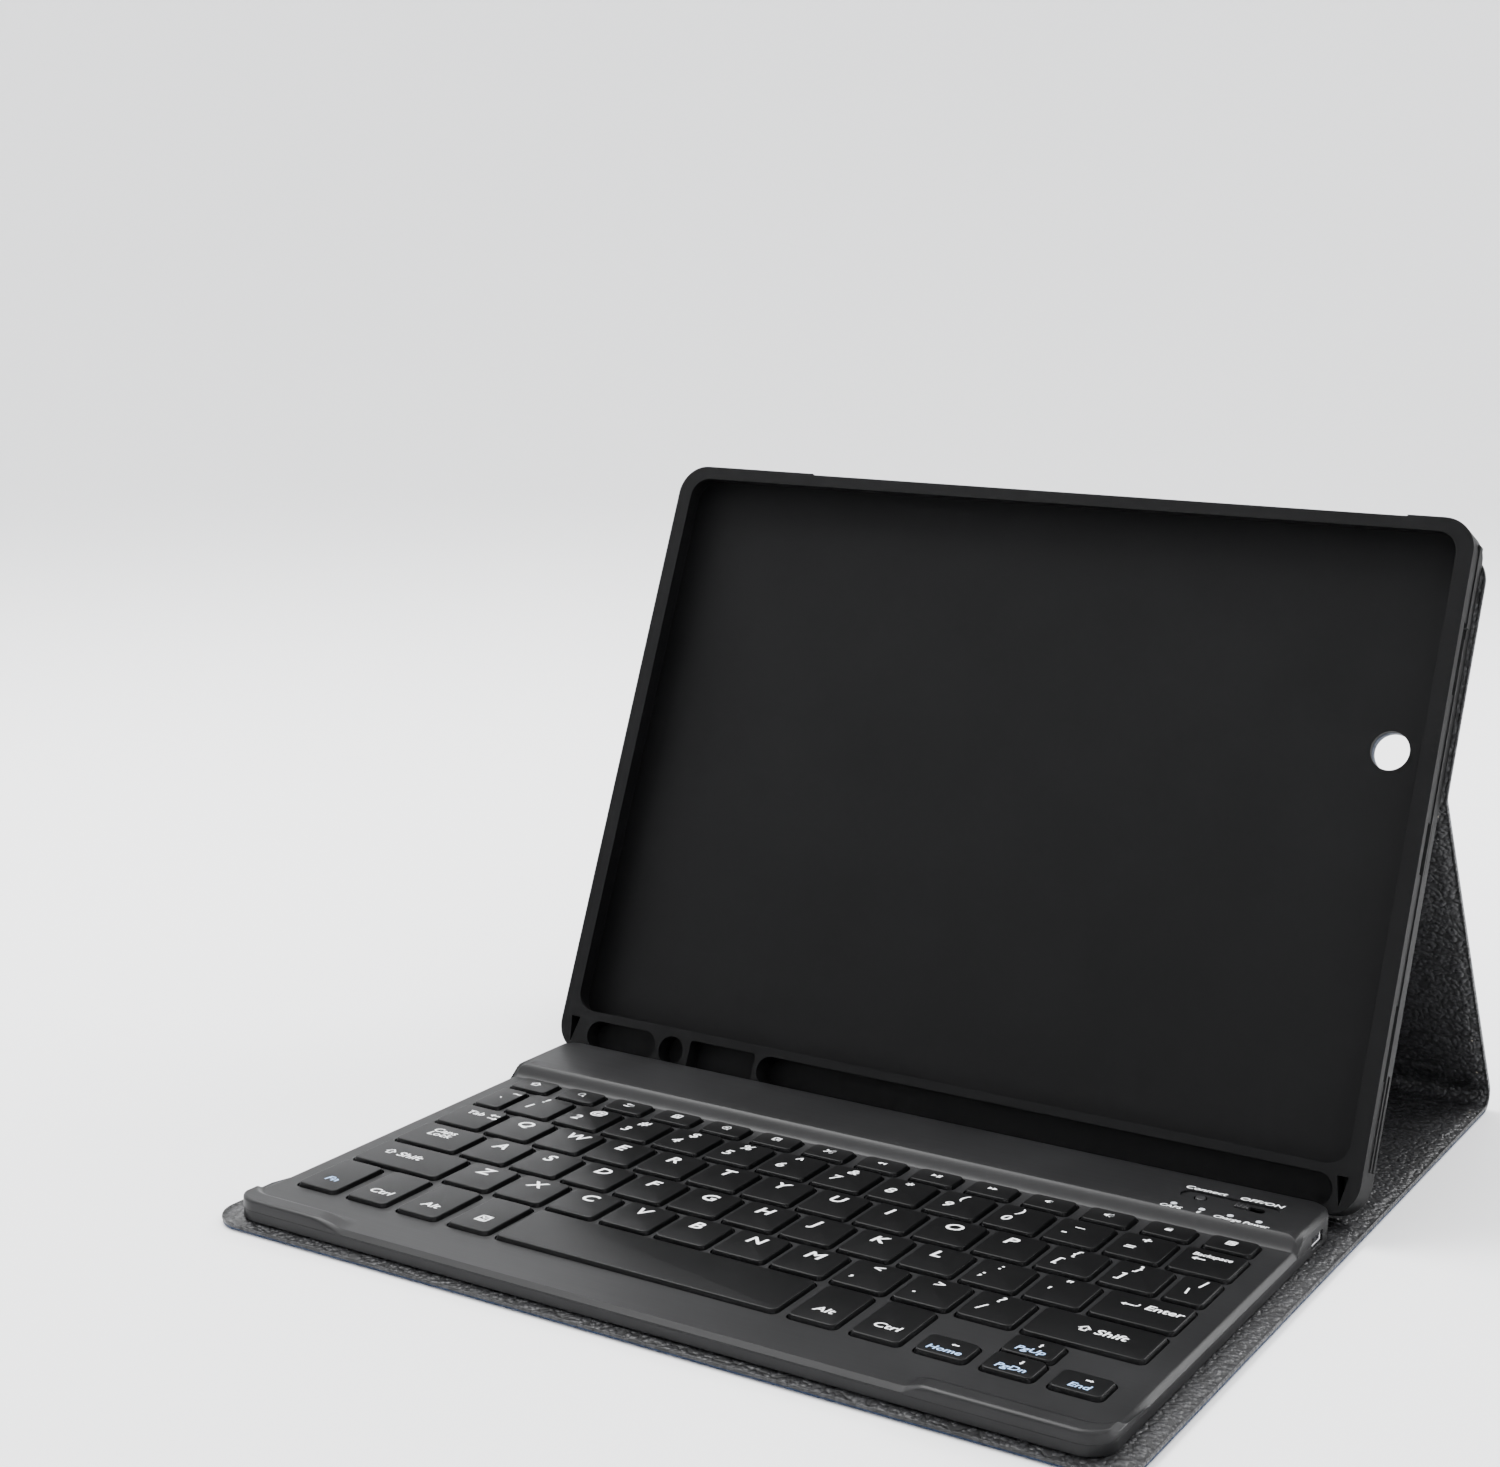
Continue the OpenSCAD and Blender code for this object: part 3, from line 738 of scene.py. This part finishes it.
LEGENDS = {
    "keys_function_left": ["#home", "#search", "#back", "#select", "#copy", "#paste", "#cut"],
    "keys_function_right": ["#rewind", "#play", "#forward", "#quieter", "#louder", "#lock", "#resize"],
    "keys_number_left": ["~\n`", "!\n1", "@\n2", "#\n3", "$\n4", "%\n5", "^\n6"],
    "keys_number_right": ["&\n7", "*\n8", "(\n9", ")\n0", "_\n-", "+\n="],
    "keys_top_left": list("QWERT"), "keys_top_right": list("YUIOP"),
    "keys_bracket": ["{\n[", "}\n]", "|\n\\"],
    "keys_home_left": list("ASDFG"), "keys_home_right": list("HJKL") + [":\n;", "\"\n'"],
    "keys_bottom_left": list("ZXCVB"), "keys_bottom_right": list("NM") + ["<\n,", ">\n.", "?\n/"],
    "key_tab": ["Tab"], "key_caps": ["Caps\nLock"], "key_shift_left": ["Shift"], "key_shift_right": ["Shift"],
    "key_enter": ["Enter"], "key_backspace": ["Backspace"],
    "keys_modifier_left": ["Fn", "Ctrl", "Alt", "#window"],
    "keys_modifier_right": ["Alt", "Ctrl"], "key_arrow_left": ["Home"], "key_arrow_right": ["End"],
    "key_arrow_up": ["PgUp"], "key_arrow_down": ["PgDn"],
}


def circle(cx, cy, r, a0=0.0, a1=360.0, n=18):
    """points along an arc of n steps, from a0 to a1 in degrees"""
    angles = [math.radians(a0 + (a1 - a0) * k / n) for k in range(n + 1)]
    return [(cx + r * math.cos(a), cy + r * math.sin(a)) for a in angles]


def square(cx, cy, h):
    return [(cx - h, cy - h), (cx + h, cy - h), (cx + h, cy + h), (cx - h, cy + h), (cx - h, cy - h)]


def arrow(x, y, dx, dy, length=1.0, head=0.35):
    """a line with a filled head, from its tail towards (dx, dy)"""
    tip = (x + dx * length, y + dy * length)
    back = (tip[0] - dx * head, tip[1] - dy * head)
    half = head * 0.7
    return [("line", [(x, y), back]), ("fill", [tip, (back[0] - dy * half, back[1] + dx * half),
                                                (back[0] + dy * half, back[1] - dx * half)])]


# each sign is drawn in a square from -1 to 1, in lines and filled outlines
SPEAKER = ("fill", [(-0.9, -0.25), (-0.55, -0.25), (-0.1, -0.65), (-0.1, 0.65), (-0.55, 0.25), (-0.9, 0.25)])
ICONS = {
    "home": [("line", [(-0.95, 0.0), (0, 0.8), (0.95, 0.0)]),
             ("line", [(-0.62, 0.1), (-0.62, -0.65), (0.62, -0.65), (0.62, 0.1)])],
    "search": [("line", circle(-0.15, 0.12, 0.6)), ("line", [(0.3, -0.3), (0.85, -0.8)])],
    "back": [("line", [(-0.85, -0.5), (0.4, -0.5)] + circle(0.4, 0.0, 0.5, -90, 90, 8) + [(-0.5, 0.5)]),
             ("fill", [(-1.0, 0.5), (-0.4, 0.85), (-0.4, 0.15)])],
    "select": [("line", square(0, 0, 0.75)), ("line", [(-0.4, -0.4), (0.0, 0.45), (0.4, -0.4)])],
    "copy": [("line", circle(0, 0, 0.72)), ("line", [(-0.25, 0.05), (0.25, 0.05)]),
             ("line", [(0.3, -0.45), (0.75, -0.85)])],
    "paste": [("line", square(-0.15, 0.05, 0.62)), ("fill", square(0.35, -0.3, 0.42)[:4])],
    "cut": [("line", [(-0.75, 0.6), (0.5, -0.35)]), ("line", [(-0.75, -0.6), (0.5, 0.35)]),
            ("line", circle(0.72, 0.5, 0.26, n=10)), ("line", circle(0.72, -0.5, 0.26, n=10))],
    "rewind": [("fill", [(-0.95, 0), (-0.1, 0.5), (-0.1, -0.5)]),
               ("fill", [(-0.05, 0), (0.8, 0.5), (0.8, -0.5)])],
    "play": [("fill", [(0.05, 0), (-0.9, 0.55), (-0.9, -0.55)]), ("line", [(0.35, -0.5), (0.35, 0.5)]),
             ("line", [(0.8, -0.5), (0.8, 0.5)])],
    "forward": [("fill", [(0.95, 0), (0.1, 0.5), (0.1, -0.5)]),
                ("fill", [(0.05, 0), (-0.8, 0.5), (-0.8, -0.5)])],
    "quieter": [SPEAKER, ("line", circle(-0.1, 0, 0.45, -50, 50, 8))],
    "louder": [SPEAKER, ("line", circle(-0.1, 0, 0.45, -50, 50, 8)),
               ("line", circle(-0.1, 0, 0.85, -50, 50, 10))],
    "lock": [("fill", [(-0.6, -0.7), (0.6, -0.7), (0.6, 0.1), (-0.6, 0.1)]),
             ("line", circle(0, 0.1, 0.42, 0, 180, 10))],
    "resize": [("line", square(0, 0, 0.72)), ("line", [(-0.4, 0.3), (0.35, 0.3), (0.35, -0.35)]),
               ("line", [(-0.35, -0.3), (0.1, 0.0)])],
    "window": [("line", square(0, 0, 0.8)), ("line", [(-0.8, 0.8), (0.0, 0.0), (0.8, 0.8)]),
               ("line", [(-0.5, -0.45), (0.5, -0.45)])],
    "up": arrow(0, -0.8, 0, 1, 1.6, 0.7), "down": arrow(0, 0.8, 0, -1, 1.6, 0.7),
    "left": arrow(0.9, 0, -1, 0, 1.8, 0.7), "right": arrow(-0.9, 0, 1, 0, 1.8, 0.7),
    "shift": [("line", [(0, 0.9), (0.9, 0.05), (0.42, 0.05), (0.42, -0.65),
                        (-0.42, -0.65), (-0.42, 0.05), (-0.9, 0.05), (0, 0.9)])],
    "enter": arrow(0.6, -0.1, -1, 0, 1.6, 0.5) + [("line", [(0.6, -0.1), (0.9, 0.1), (0.9, 0.45)])],
    "wireless": [("line", [(-0.4, 0.45), (0.4, -0.4), (0.0, -0.8), (0.0, 0.8), (0.4, 0.4), (-0.4, -0.45)])],
}
SLANT = 0.16            # how far the signs lean, as the letters do
PRINT_UP = 0.00002      # the printing stands this much over the surface


def icon_mesh(shape, x, y, z, size, stroke=0.13):
    """small printed sign, centred at (x, y)"""
    verts, faces = [], []

    def put(pts):
        n = len(verts)
        verts.extend((x + (p[0] + SLANT * p[1]) * size, y + p[1] * size, z) for p in pts)
        faces.append(tuple(range(n, n + len(pts))))

    for kind, pts in ICONS[shape]:
        if kind == "fill":
            put(pts)
            continue
        for a, b in zip(pts, pts[1:]):
            d = Vector((b[0] - a[0], b[1] - a[1]))
            if d.length < 1e-6:
                continue
            d = d.normalized() * stroke
            put([(a[0] - d.y - d.x * 0.5, a[1] + d.x - d.y * 0.5),
                 (a[0] + d.y - d.x * 0.5, a[1] - d.x - d.y * 0.5),
                 (b[0] + d.y + d.x * 0.5, b[1] - d.x + d.y * 0.5),
                 (b[0] - d.y + d.x * 0.5, b[1] + d.x + d.y * 0.5)])
    me = bpy.data.meshes.new("icon")
    me.from_pydata(verts, [], faces)
    ob = bpy.data.objects.new("icon", me)
    bpy.context.scene.collection.objects.link(ob)
    return ob


KEY_NODES = [n for n in NODES if n.startswith(("key_", "keys_")) and n != "key_domes"]
KEY_WALL = 1.35 * MM        # thickness of a key's skirt
KEY_ROOF = 1.1 * MM         # thickness of its top
# a key's outside from its foot up, in millimetres: inset, drop from the top, corner radius
KEY_PROFILE = ((0.04, 1.3, 1.7), (0.36, 0.26, 1.55), (0.40, 0.16, 1.5), (0.47, 0.07, 1.45),
               (0.58, 0.02, 1.4), (0.72, 0.0, 1.3))


def key_solid(lo, hi):
    """one key, hollow below: straight skirt, a soft shoulder and a flat top with rounded corners"""
    x0, y0, z0 = lo
    x1, y1, z1 = hi

    def ring(inset, z, r):
        return [(x, y, z) for x, y in rounded_ring(x0 + inset, x1 - inset, y0 + inset, y1 - inset, r)]

    rings = [ring(KEY_WALL, z1 - KEY_ROOF, 0.6 * MM), ring(KEY_WALL, z0, 0.6 * MM), ring(0.0, z0, 1.7 * MM)]
    rings += [ring(inset * MM, z1 - drop * MM, r * MM) for inset, drop, r in KEY_PROFILE]
    return loft(rings)


def text_mesh(body, size, x, y, z, bold=0.014, align="LEFT", wide=1.0):
    """flat letters, filled at unit size and then scaled, so that small words stay whole"""
    cu = bpy.data.curves.new("t", "FONT")
    cu.body = body
    cu.size = 1.0
    cu.align_x = align
    cu.align_y = "TOP"
    cu.offset = bold
    cu.shear = 0.20
    cu.resolution_u = 3
    cu.space_line = 0.8
    ob = bpy.data.objects.new("t", cu)
    bpy.context.scene.collection.objects.link(ob)
    bpy.context.view_layer.update()
    me = bpy.data.meshes.new_from_object(ob.evaluated_get(bpy.context.evaluated_depsgraph_get()))
    bpy.data.objects.remove(ob)
    me.transform(Matrix.Translation((x, y, z)) @ Matrix.Diagonal((size * wide, size, size, 1)))
    new = bpy.data.objects.new("t", me)
    bpy.context.scene.collection.objects.link(new)
    return new


def legend(node, label, lo, hi):
    """the printing on one key: list of (mesh, is blue); places in millimetres from the key's own edges"""
    z = hi[2] + PRINT_UP
    w, d = hi[0] - lo[0], hi[1] - lo[1]
    cx = (lo[0] + hi[0]) / 2
    if label.startswith("#") and len(label) > 2 and "\n" not in label:
        if node == "keys_modifier_left":
            return [(icon_mesh(label[1:], lo[0] + w * 0.52, lo[1] + 7.0 * MM, z, 1.9 * MM), False)]
        return [(icon_mesh(label[1:], cx - 0.3 * MM, lo[1] + d * 0.58, z, 1.45 * MM, 0.15), False)]
    if len(label) == 1:
        return [(text_mesh(label, 5.2 * MM, lo[0] + 4.6 * MM, hi[1] - 2.3 * MM, z, 0.02, wide=1.15), False)]
    if len(label) == 3 and "\n" in label:
        top, low = label.split("\n")
        return [(text_mesh(top, 4.2 * MM, lo[0] + 5.6 * MM, hi[1] - 1.3 * MM, z, wide=1.15), False),
                (text_mesh(low, 4.4 * MM, lo[0] + 3.2 * MM, hi[1] - 6.8 * MM, z, wide=1.15), False)]
    if node in ("key_arrow_left", "key_arrow_right", "key_arrow_up", "key_arrow_down"):
        y = lo[1] + d * (0.46 if d < 0.012 else 0.36)
        return [(text_mesh(label, 2.9 * MM, cx, y, z, align="CENTER", wide=1.2), True),
                (icon_mesh(node.split("_")[2], cx + 1.2 * MM, y + 1.9 * MM, z, 1.0 * MM, 0.22), False)]
    if node in ("keys_modifier_left", "keys_modifier_right"):
        word = text_mesh(label, 3.4 * MM, cx, lo[1] + 8.2 * MM, z, align="CENTER", wide=1.25)
        return [(word, label == "Fn")]
    if node.startswith("key_shift"):
        x = lo[0] + w * (0.30 if node.endswith("left") else 0.48)
        return [(icon_mesh("shift", x - 2.2 * MM, lo[1] + d * 0.55, z, 1.6 * MM), False),
                (text_mesh(label, 3.8 * MM, x + 0.4 * MM, lo[1] + d * 0.66, z, wide=1.2), False)]
    if node == "key_enter":
        return [(icon_mesh("enter", lo[0] + 7.4 * MM, lo[1] + d * 0.60, z, 2.2 * MM, 0.10), False),
                (text_mesh(label, 3.6 * MM, lo[0] + 11.0 * MM, lo[1] + d * 0.74, z, wide=1.2), False)]
    if node == "key_backspace":
        return [(text_mesh(label, 2.5 * MM, lo[0] + 3.0 * MM, hi[1] - 2.8 * MM, z), False),
                (icon_mesh("left", lo[0] + 5.4 * MM, hi[1] - 6.7 * MM, z, 1.9 * MM, 0.12), False)]
    if node == "key_tab":
        return [(text_mesh(label, 3.3 * MM, lo[0] + 4.0 * MM, hi[1] - 3.4 * MM, z, wide=1.15), False),
                (icon_mesh("left", lo[0] + 13.0 * MM, hi[1] - 4.0 * MM, z, 1.8 * MM, 0.12), False),
                (icon_mesh("right", lo[0] + 13.6 * MM, hi[1] - 6.2 * MM, z, 1.8 * MM, 0.12), False)]
    return [(text_mesh(label, 3.3 * MM, lo[0] + 5.4 * MM, hi[1] - 2.8 * MM, z, wide=1.2), False)]


def print_on(pieces, name, body):
    for blue, mat, tag in ((False, INK, "_print"), (True, INK_BLUE, "_blue")):
        obs = [o for o, b in pieces if b == blue]
        if not obs:
            continue
        t = join(obs, name + tag)
        t.data.materials.clear()
        t.data.materials.append(mat)
        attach(t, body)


for node in sorted(KEY_NODES):
    verts, faces, words = [], [], []
    labels = LEGENDS.get(node, [])
    for b, (lo, hi) in enumerate(islands(node)):
        v, f = key_solid(lo, hi)
        faces += [tuple(i + len(verts) for i in q) for q in f]
        verts += v
        if b < len(labels):
            words += legend(node, labels[b], lo, hi)
    ob = new_mesh(node + "_caps", verts, faces)
    ob.data.materials.append(KEY)
    body = NODES[node]["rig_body"]
    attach(ob, body)
    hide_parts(node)
    print_on(words, node, body)

# ------------------------------------------------------------------ keyboard top

frame_lo, frame_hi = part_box("keyboard_frame")
rear_lo, rear_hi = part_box("rear_housing")
KB_R = 7.0 * MM
KB_X = frame_hi.x
KB_Y0, KB_Y1 = frame_lo.y, rear_hi.y
KEY_PROUD = 1.0 * MM        # the keys stand this much over the deck
DECK_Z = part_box("key_space")[1].z - KEY_PROUD
REAR_Z = rear_hi.z
LIP_Z = frame_hi.z
Z_LOW = rear_lo.z
SLOPE_Y = rear_lo.y + 0.3 * MM
SLOPE_LEN = 4.4 * MM
BEVEL_SIDE, BEVEL_FRONT, BEVEL_DROP = 1.7 * MM, 1.3 * MM, 1.0 * MM
REAR_DROP, REAR_RUN = 0.5 * MM, 0.9 * MM        # rounding of the rear edge
LIP_FLAT, LIP_RUN = 4.6 * MM, 3.0 * MM          # the front lip's level part, and its slope to the deck
LIP_ROUND, LIP_DROP = 1.3 * MM, 0.9 * MM        # rounding of its front edge
LIP_SIDE, LIP_REACH = 1.2 * MM, 9 * MM          # where it fades in at the sides, and how far back it can go
# where the lip falls to the deck on the left, and rises from it again on the right
LEFT_RAMP = (-0.0955, -0.0850)
RIGHT_RAMP = (0.0735, 0.0795)


def sstep(x):
    """smoothstep of one number"""
    x = min(max(x, 0.0), 1.0)
    return x * x * (3 - 2 * x)


def lip_share(x):
    """1 where the front lip is at its full height, 0 where the front is open"""
    return max(1 - sstep((x - LEFT_RAMP[0]) / (LEFT_RAMP[1] - LEFT_RAMP[0])),
               sstep((x - RIGHT_RAMP[0]) / (RIGHT_RAMP[1] - RIGHT_RAMP[0])))


def top_height(x, y, y0, y1):
    """height of the keyboard's upper surface"""
    d, f, b = KB_X - abs(x), y - y0, y1 - y
    deck = DECK_Z + (REAR_Z - DECK_Z) * sstep((y - SLOPE_Y) / SLOPE_LEN)
    side = max(0.0, 1 - d / BEVEL_SIDE)
    front = max(0.0, 1 - f / BEVEL_FRONT)
    low = deck - BEVEL_DROP * max(side * side * 0.35 + side * 0.65, front)
    low -= REAR_DROP * (1 - sstep(b / REAR_RUN))
    lip = DECK_Z + (LIP_Z - DECK_Z) * (1 - sstep((f - LIP_FLAT) / LIP_RUN)) * sstep(d / LIP_SIDE)
    lip -= LIP_DROP * (1 - math.sqrt(max(0.0, 1 - (1 - min(1.0, f / LIP_ROUND)) ** 2)))
    lip = min(lip, max(low, LIP_Z)) if f < LIP_REACH else low
    return low + (max(lip, low) - low) * lip_share(x)


def corner_inset(x):
    """how far the front and rear edges draw in at the rounded corners"""
    d = KB_X - abs(x)
    return 0.0 if d >= KB_R else KB_R - math.sqrt(max(0.0, KB_R ** 2 - (KB_R - d) ** 2))


def spaced(stops):
    """values from (start, step) runs up to the last stop"""
    out = []
    for (a, step), (b, _) in zip(stops, stops[1:]):
        n = max(1, int(round((b - a) / step)))
        out += [a + (b - a) * k / n for k in range(n)]
    return out + [stops[-1][0]]


half_x = spaced([(0, 0.18 * MM), (1.0 * MM, 0.3 * MM), (2.2 * MM, 0.45 * MM), (KB_R, 8 * MM)])
xs_left = [-KB_X + d for d in half_x]
mid_x = spaced([(-KB_X + KB_R + 3 * MM, 3 * MM), (LEFT_RAMP[0], 0.7 * MM), (LEFT_RAMP[1], 8 * MM),
                (RIGHT_RAMP[0], 0.5 * MM), (RIGHT_RAMP[1], 5 * MM), (KB_X - KB_R - 3 * MM, 1 * MM)])
STATIONS = xs_left + mid_x + [-x for x in xs_left[::-1]]
ys = spaced([(KB_Y0, 0.13 * MM), (KB_Y0 + 1.3 * MM, 0.35 * MM), (KB_Y0 + 3.0 * MM, 0.4 * MM),
             (KB_Y0 + 8.4 * MM, 9 * MM), (SLOPE_Y, 0.28 * MM), (SLOPE_Y + SLOPE_LEN, 4 * MM),
             (KB_Y1 - 1.0 * MM, 0.2 * MM), (KB_Y1, 1)])
T = [(y - KB_Y0) / (KB_Y1 - KB_Y0) for y in ys]
rings = []
for x in STATIONS:
    c = corner_inset(x)
    y0, y1 = KB_Y0 + c, KB_Y1 - c
    ring = [(x, y1, Z_LOW), (x, y0, Z_LOW)]
    for t in T:
        y = y0 + t * (y1 - y0)
        ring.append((x, y, top_height(x, y, y0, y1)))
    rings.append(ring)
v, f = loft(rings)
deck = new_mesh("keyboard_top", v, f)
face_outward(deck)


def box_tool(lo, hi, r, z0, z1):
    """upright block with rounded corners, to cut with"""
    pts = rounded_ring(lo[0], hi[0], lo[1], hi[1], r, 4)
    v, f = loft([[(x, y, z0) for x, y in pts], [(x, y, z1) for x, y in pts]])
    return new_mesh("tool", v, f)


KEY_GAP, KEY_HOLE_R = 0.32 * MM, 1.9 * MM
SKIN_SIDE, SKIN_TOP = 1.6 * MM, 1.2 * MM        # thickness left round the hollow at the rear
PORT_GAP_Y, PORT_GAP_Z = 0.25 * MM, 0.2 * MM
tools = []
for node in sorted(KEY_NODES):
    for lo, hi in islands(node):
        tools.append(box_tool(lo - KEY_GAP, hi + KEY_GAP, KEY_HOLE_R, Z_LOW - MM, LIP_Z + MM))
cut(deck, join(tools, "key_holes"))
cut(deck, box_tool((-KB_X + SKIN_SIDE, SLOPE_Y + SLOPE_LEN), (KB_X - SKIN_SIDE, KB_Y1 - SKIN_SIDE), 5 * MM,
                   Z_LOW - MM, REAR_Z - SKIN_TOP))
port_lo, port_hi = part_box("charge_port")
cut(deck, box_tool((port_lo.x - 2 * MM, port_lo.y - PORT_GAP_Y), (KB_X + 2 * MM, port_hi.y + PORT_GAP_Y),
                   0.2 * MM, port_lo.z - PORT_GAP_Z, port_hi.z + PORT_GAP_Z))
but_lo, but_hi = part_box("pairing_button")
sli_lo, sli_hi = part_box("power_slider")
pill_y = (but_lo.y + but_hi.y) / 2
# the controls sit in a shallow pill-shaped recess
pill_x0, pill_x1 = but_lo.x - 3.3 * MM, sli_hi.x + 7.6 * MM
PILL_HALF, PILL_DEEP = 3 * MM, 0.6 * MM
cut(deck, box_tool((pill_x0, pill_y - PILL_HALF), (pill_x1, pill_y + PILL_HALF), 2.95 * MM,
                   REAR_Z - PILL_DEEP, REAR_Z + MM))


def control_hole(x0, y0, x1, y1, r):
    """tool for a hole through the rear deck"""
    return box_tool((x0, y0), (x1, y1), r, REAR_Z - 3 * MM, REAR_Z + MM)


BUTTON_HALF, SLIDER_HALF, LIGHT_GAP = 1.8 * MM, 1.4 * MM, 0.05 * MM
tools = [control_hole(but_lo.x + 0.4 * MM, pill_y - BUTTON_HALF,
                      but_hi.x - 0.4 * MM, pill_y + BUTTON_HALF, 1.75 * MM),
         control_hole(sli_lo.x + 0.3 * MM, pill_y - SLIDER_HALF,
                      sli_hi.x + 3.6 * MM, pill_y + SLIDER_HALF, 1.35 * MM)]
for lo, hi in islands("indicator_lights"):
    lo, hi = lo - LIGHT_GAP, hi + LIGHT_GAP
    tools.append(control_hole(lo[0], lo[1], hi[0], hi[1], 0.85 * MM))
cut(deck, join(tools, "control_holes"))
deck.data.set_sharp_from_angle(angle=math.radians(28))
deck.data.materials.clear()
deck.data.materials.append(DECK)
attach(deck, "keyboard")
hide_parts("keyboard_frame", "rear_housing")

# printed labels beside the controls
lights = islands("indicator_lights")
z = REAR_Z + PRINT_UP
labels = [(text_mesh("Connect", 2.6 * MM, pill_x0 - 0.4 * MM, pill_y + 5.6 * MM, z, 0.012, wide=1.25), False),
          (text_mesh("OFF/ON", 2.6 * MM, pill_x0 + 14.6 * MM, pill_y + 5.6 * MM, z, 0.012, wide=1.25), False)]
for k, word in enumerate(("CAPS", None, "Charge", "Power")):
    lo, hi = lights[k]
    x, y = (lo[0] + hi[0]) / 2, lo[1] - 0.5 * MM
    if word:
        labels.append((text_mesh(word, 2.2 * MM, x, y, z, 0.012, "CENTER", 1.15), False))
    else:
        labels.append((icon_mesh("wireless", x, y - 1.0 * MM, z, 0.9 * MM, 0.16), False))
print_on(labels, "control_labels", "keyboard")

# ------------------------------------------------------------------ stage, light, camera

def studio_bowl():
    """pale floor that curves up into a round wall, so no horizon shows"""
    flat_r, curve_r, below = 1.9, 1.1, 0.0003
    prof = [(0.0, 0.0), (0.5, 0.0), (1.2, 0.0), (flat_r, 0.0)]
    prof += [(flat_r + curve_r * math.sin(a), curve_r - curve_r * math.cos(a))
             for a in [math.pi / 2 * k / 16 for k in range(1, 17)]]
    prof += [(flat_r + curve_r, 1.8), (flat_r + curve_r, 2.6)]
    n = 96
    verts = [(0, 0, 0)] + [(r * math.cos(2 * math.pi * k / n), r * math.sin(2 * math.pi * k / n), z)
                           for r, z in prof[1:] for k in range(n)]
    faces = [(0, 1 + k, 1 + (k + 1) % n) for k in range(n)]
    for row in range(len(prof) - 2):
        a, b = 1 + row * n, 1 + (row + 1) * n
        faces += [(a + k, b + k, b + (k + 1) % n, a + (k + 1) % n) for k in range(n)]
    ob = new_mesh("studio_floor", [(x, y, z - below) for x, y, z in verts], faces)
    m, nt, b = material("floor_paint", (0.93, 0.93, 0.935), 0.8, 0.1)
    co = coords(nt)
    t = tex(nt, "ShaderNodeTexNoise", co, 3.0, Detail=2.0)
    shades = [(0.3, (0.925, 0.925, 0.93)), (0.7, (0.935, 0.935, 0.94))]
    nt.links.new(ramp(nt, t.outputs["Fac"], shades), b.inputs["Base Color"])
    ob.data.materials.append(m)
    ob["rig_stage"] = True


studio_bowl()
world = bpy.data.worlds.new("studio")
bpy.context.scene.world = world
world.use_nodes = True
world.node_tree.nodes["Background"].inputs["Color"].default_value = (0.98, 0.99, 1.0, 1)
world.node_tree.nodes["Background"].inputs["Strength"].default_value = 2.2


def area(name, loc, target, size, power):
    """soft light at loc, turned to target"""
    light = bpy.data.lights.new(name, "AREA")
    light.shape = "RECTANGLE"
    light.size, light.size_y = size
    light.energy = power
    ob = bpy.data.objects.new(name, light)
    bpy.context.scene.collection.objects.link(ob)
    ob.location = loc
    ob.rotation_euler = (Vector(target) - Vector(loc)).to_track_quat("-Z", "Y").to_euler()
    ob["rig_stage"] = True


area("key_light", (-0.6, 0.1, 1.15), (0, 0, 0.03), (0.9, 0.6), 26)
area("fill_light", (1.1, -0.6, 1.0), (0, 0.02, 0.05), (0.7, 0.7), 4)
area("back_light", (0.6, 1.0, 0.9), (0, 0.05, 0.05), (0.8, 0.5), 14)

# the camera stands where the photo's camera was fitted, apart from the shift, which is kept small
cam = bpy.data.cameras.new("camera")
cam.sensor_width = 36.0
cam.lens = 57.67584
cam.shift_x = -1 / 15
cam.shift_y = 0.011
ob = bpy.data.objects.new("camera", cam)
bpy.context.scene.collection.objects.link(ob)
CAMERA_AT = (0.304, -0.559, 0.246)
CAMERA_TURN = (78.464, -0.965, 30.231)      # degrees
ob.location = CAMERA_AT
ob.rotation_euler = [math.radians(a) for a in CAMERA_TURN]
bpy.context.scene.camera = ob

lo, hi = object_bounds()
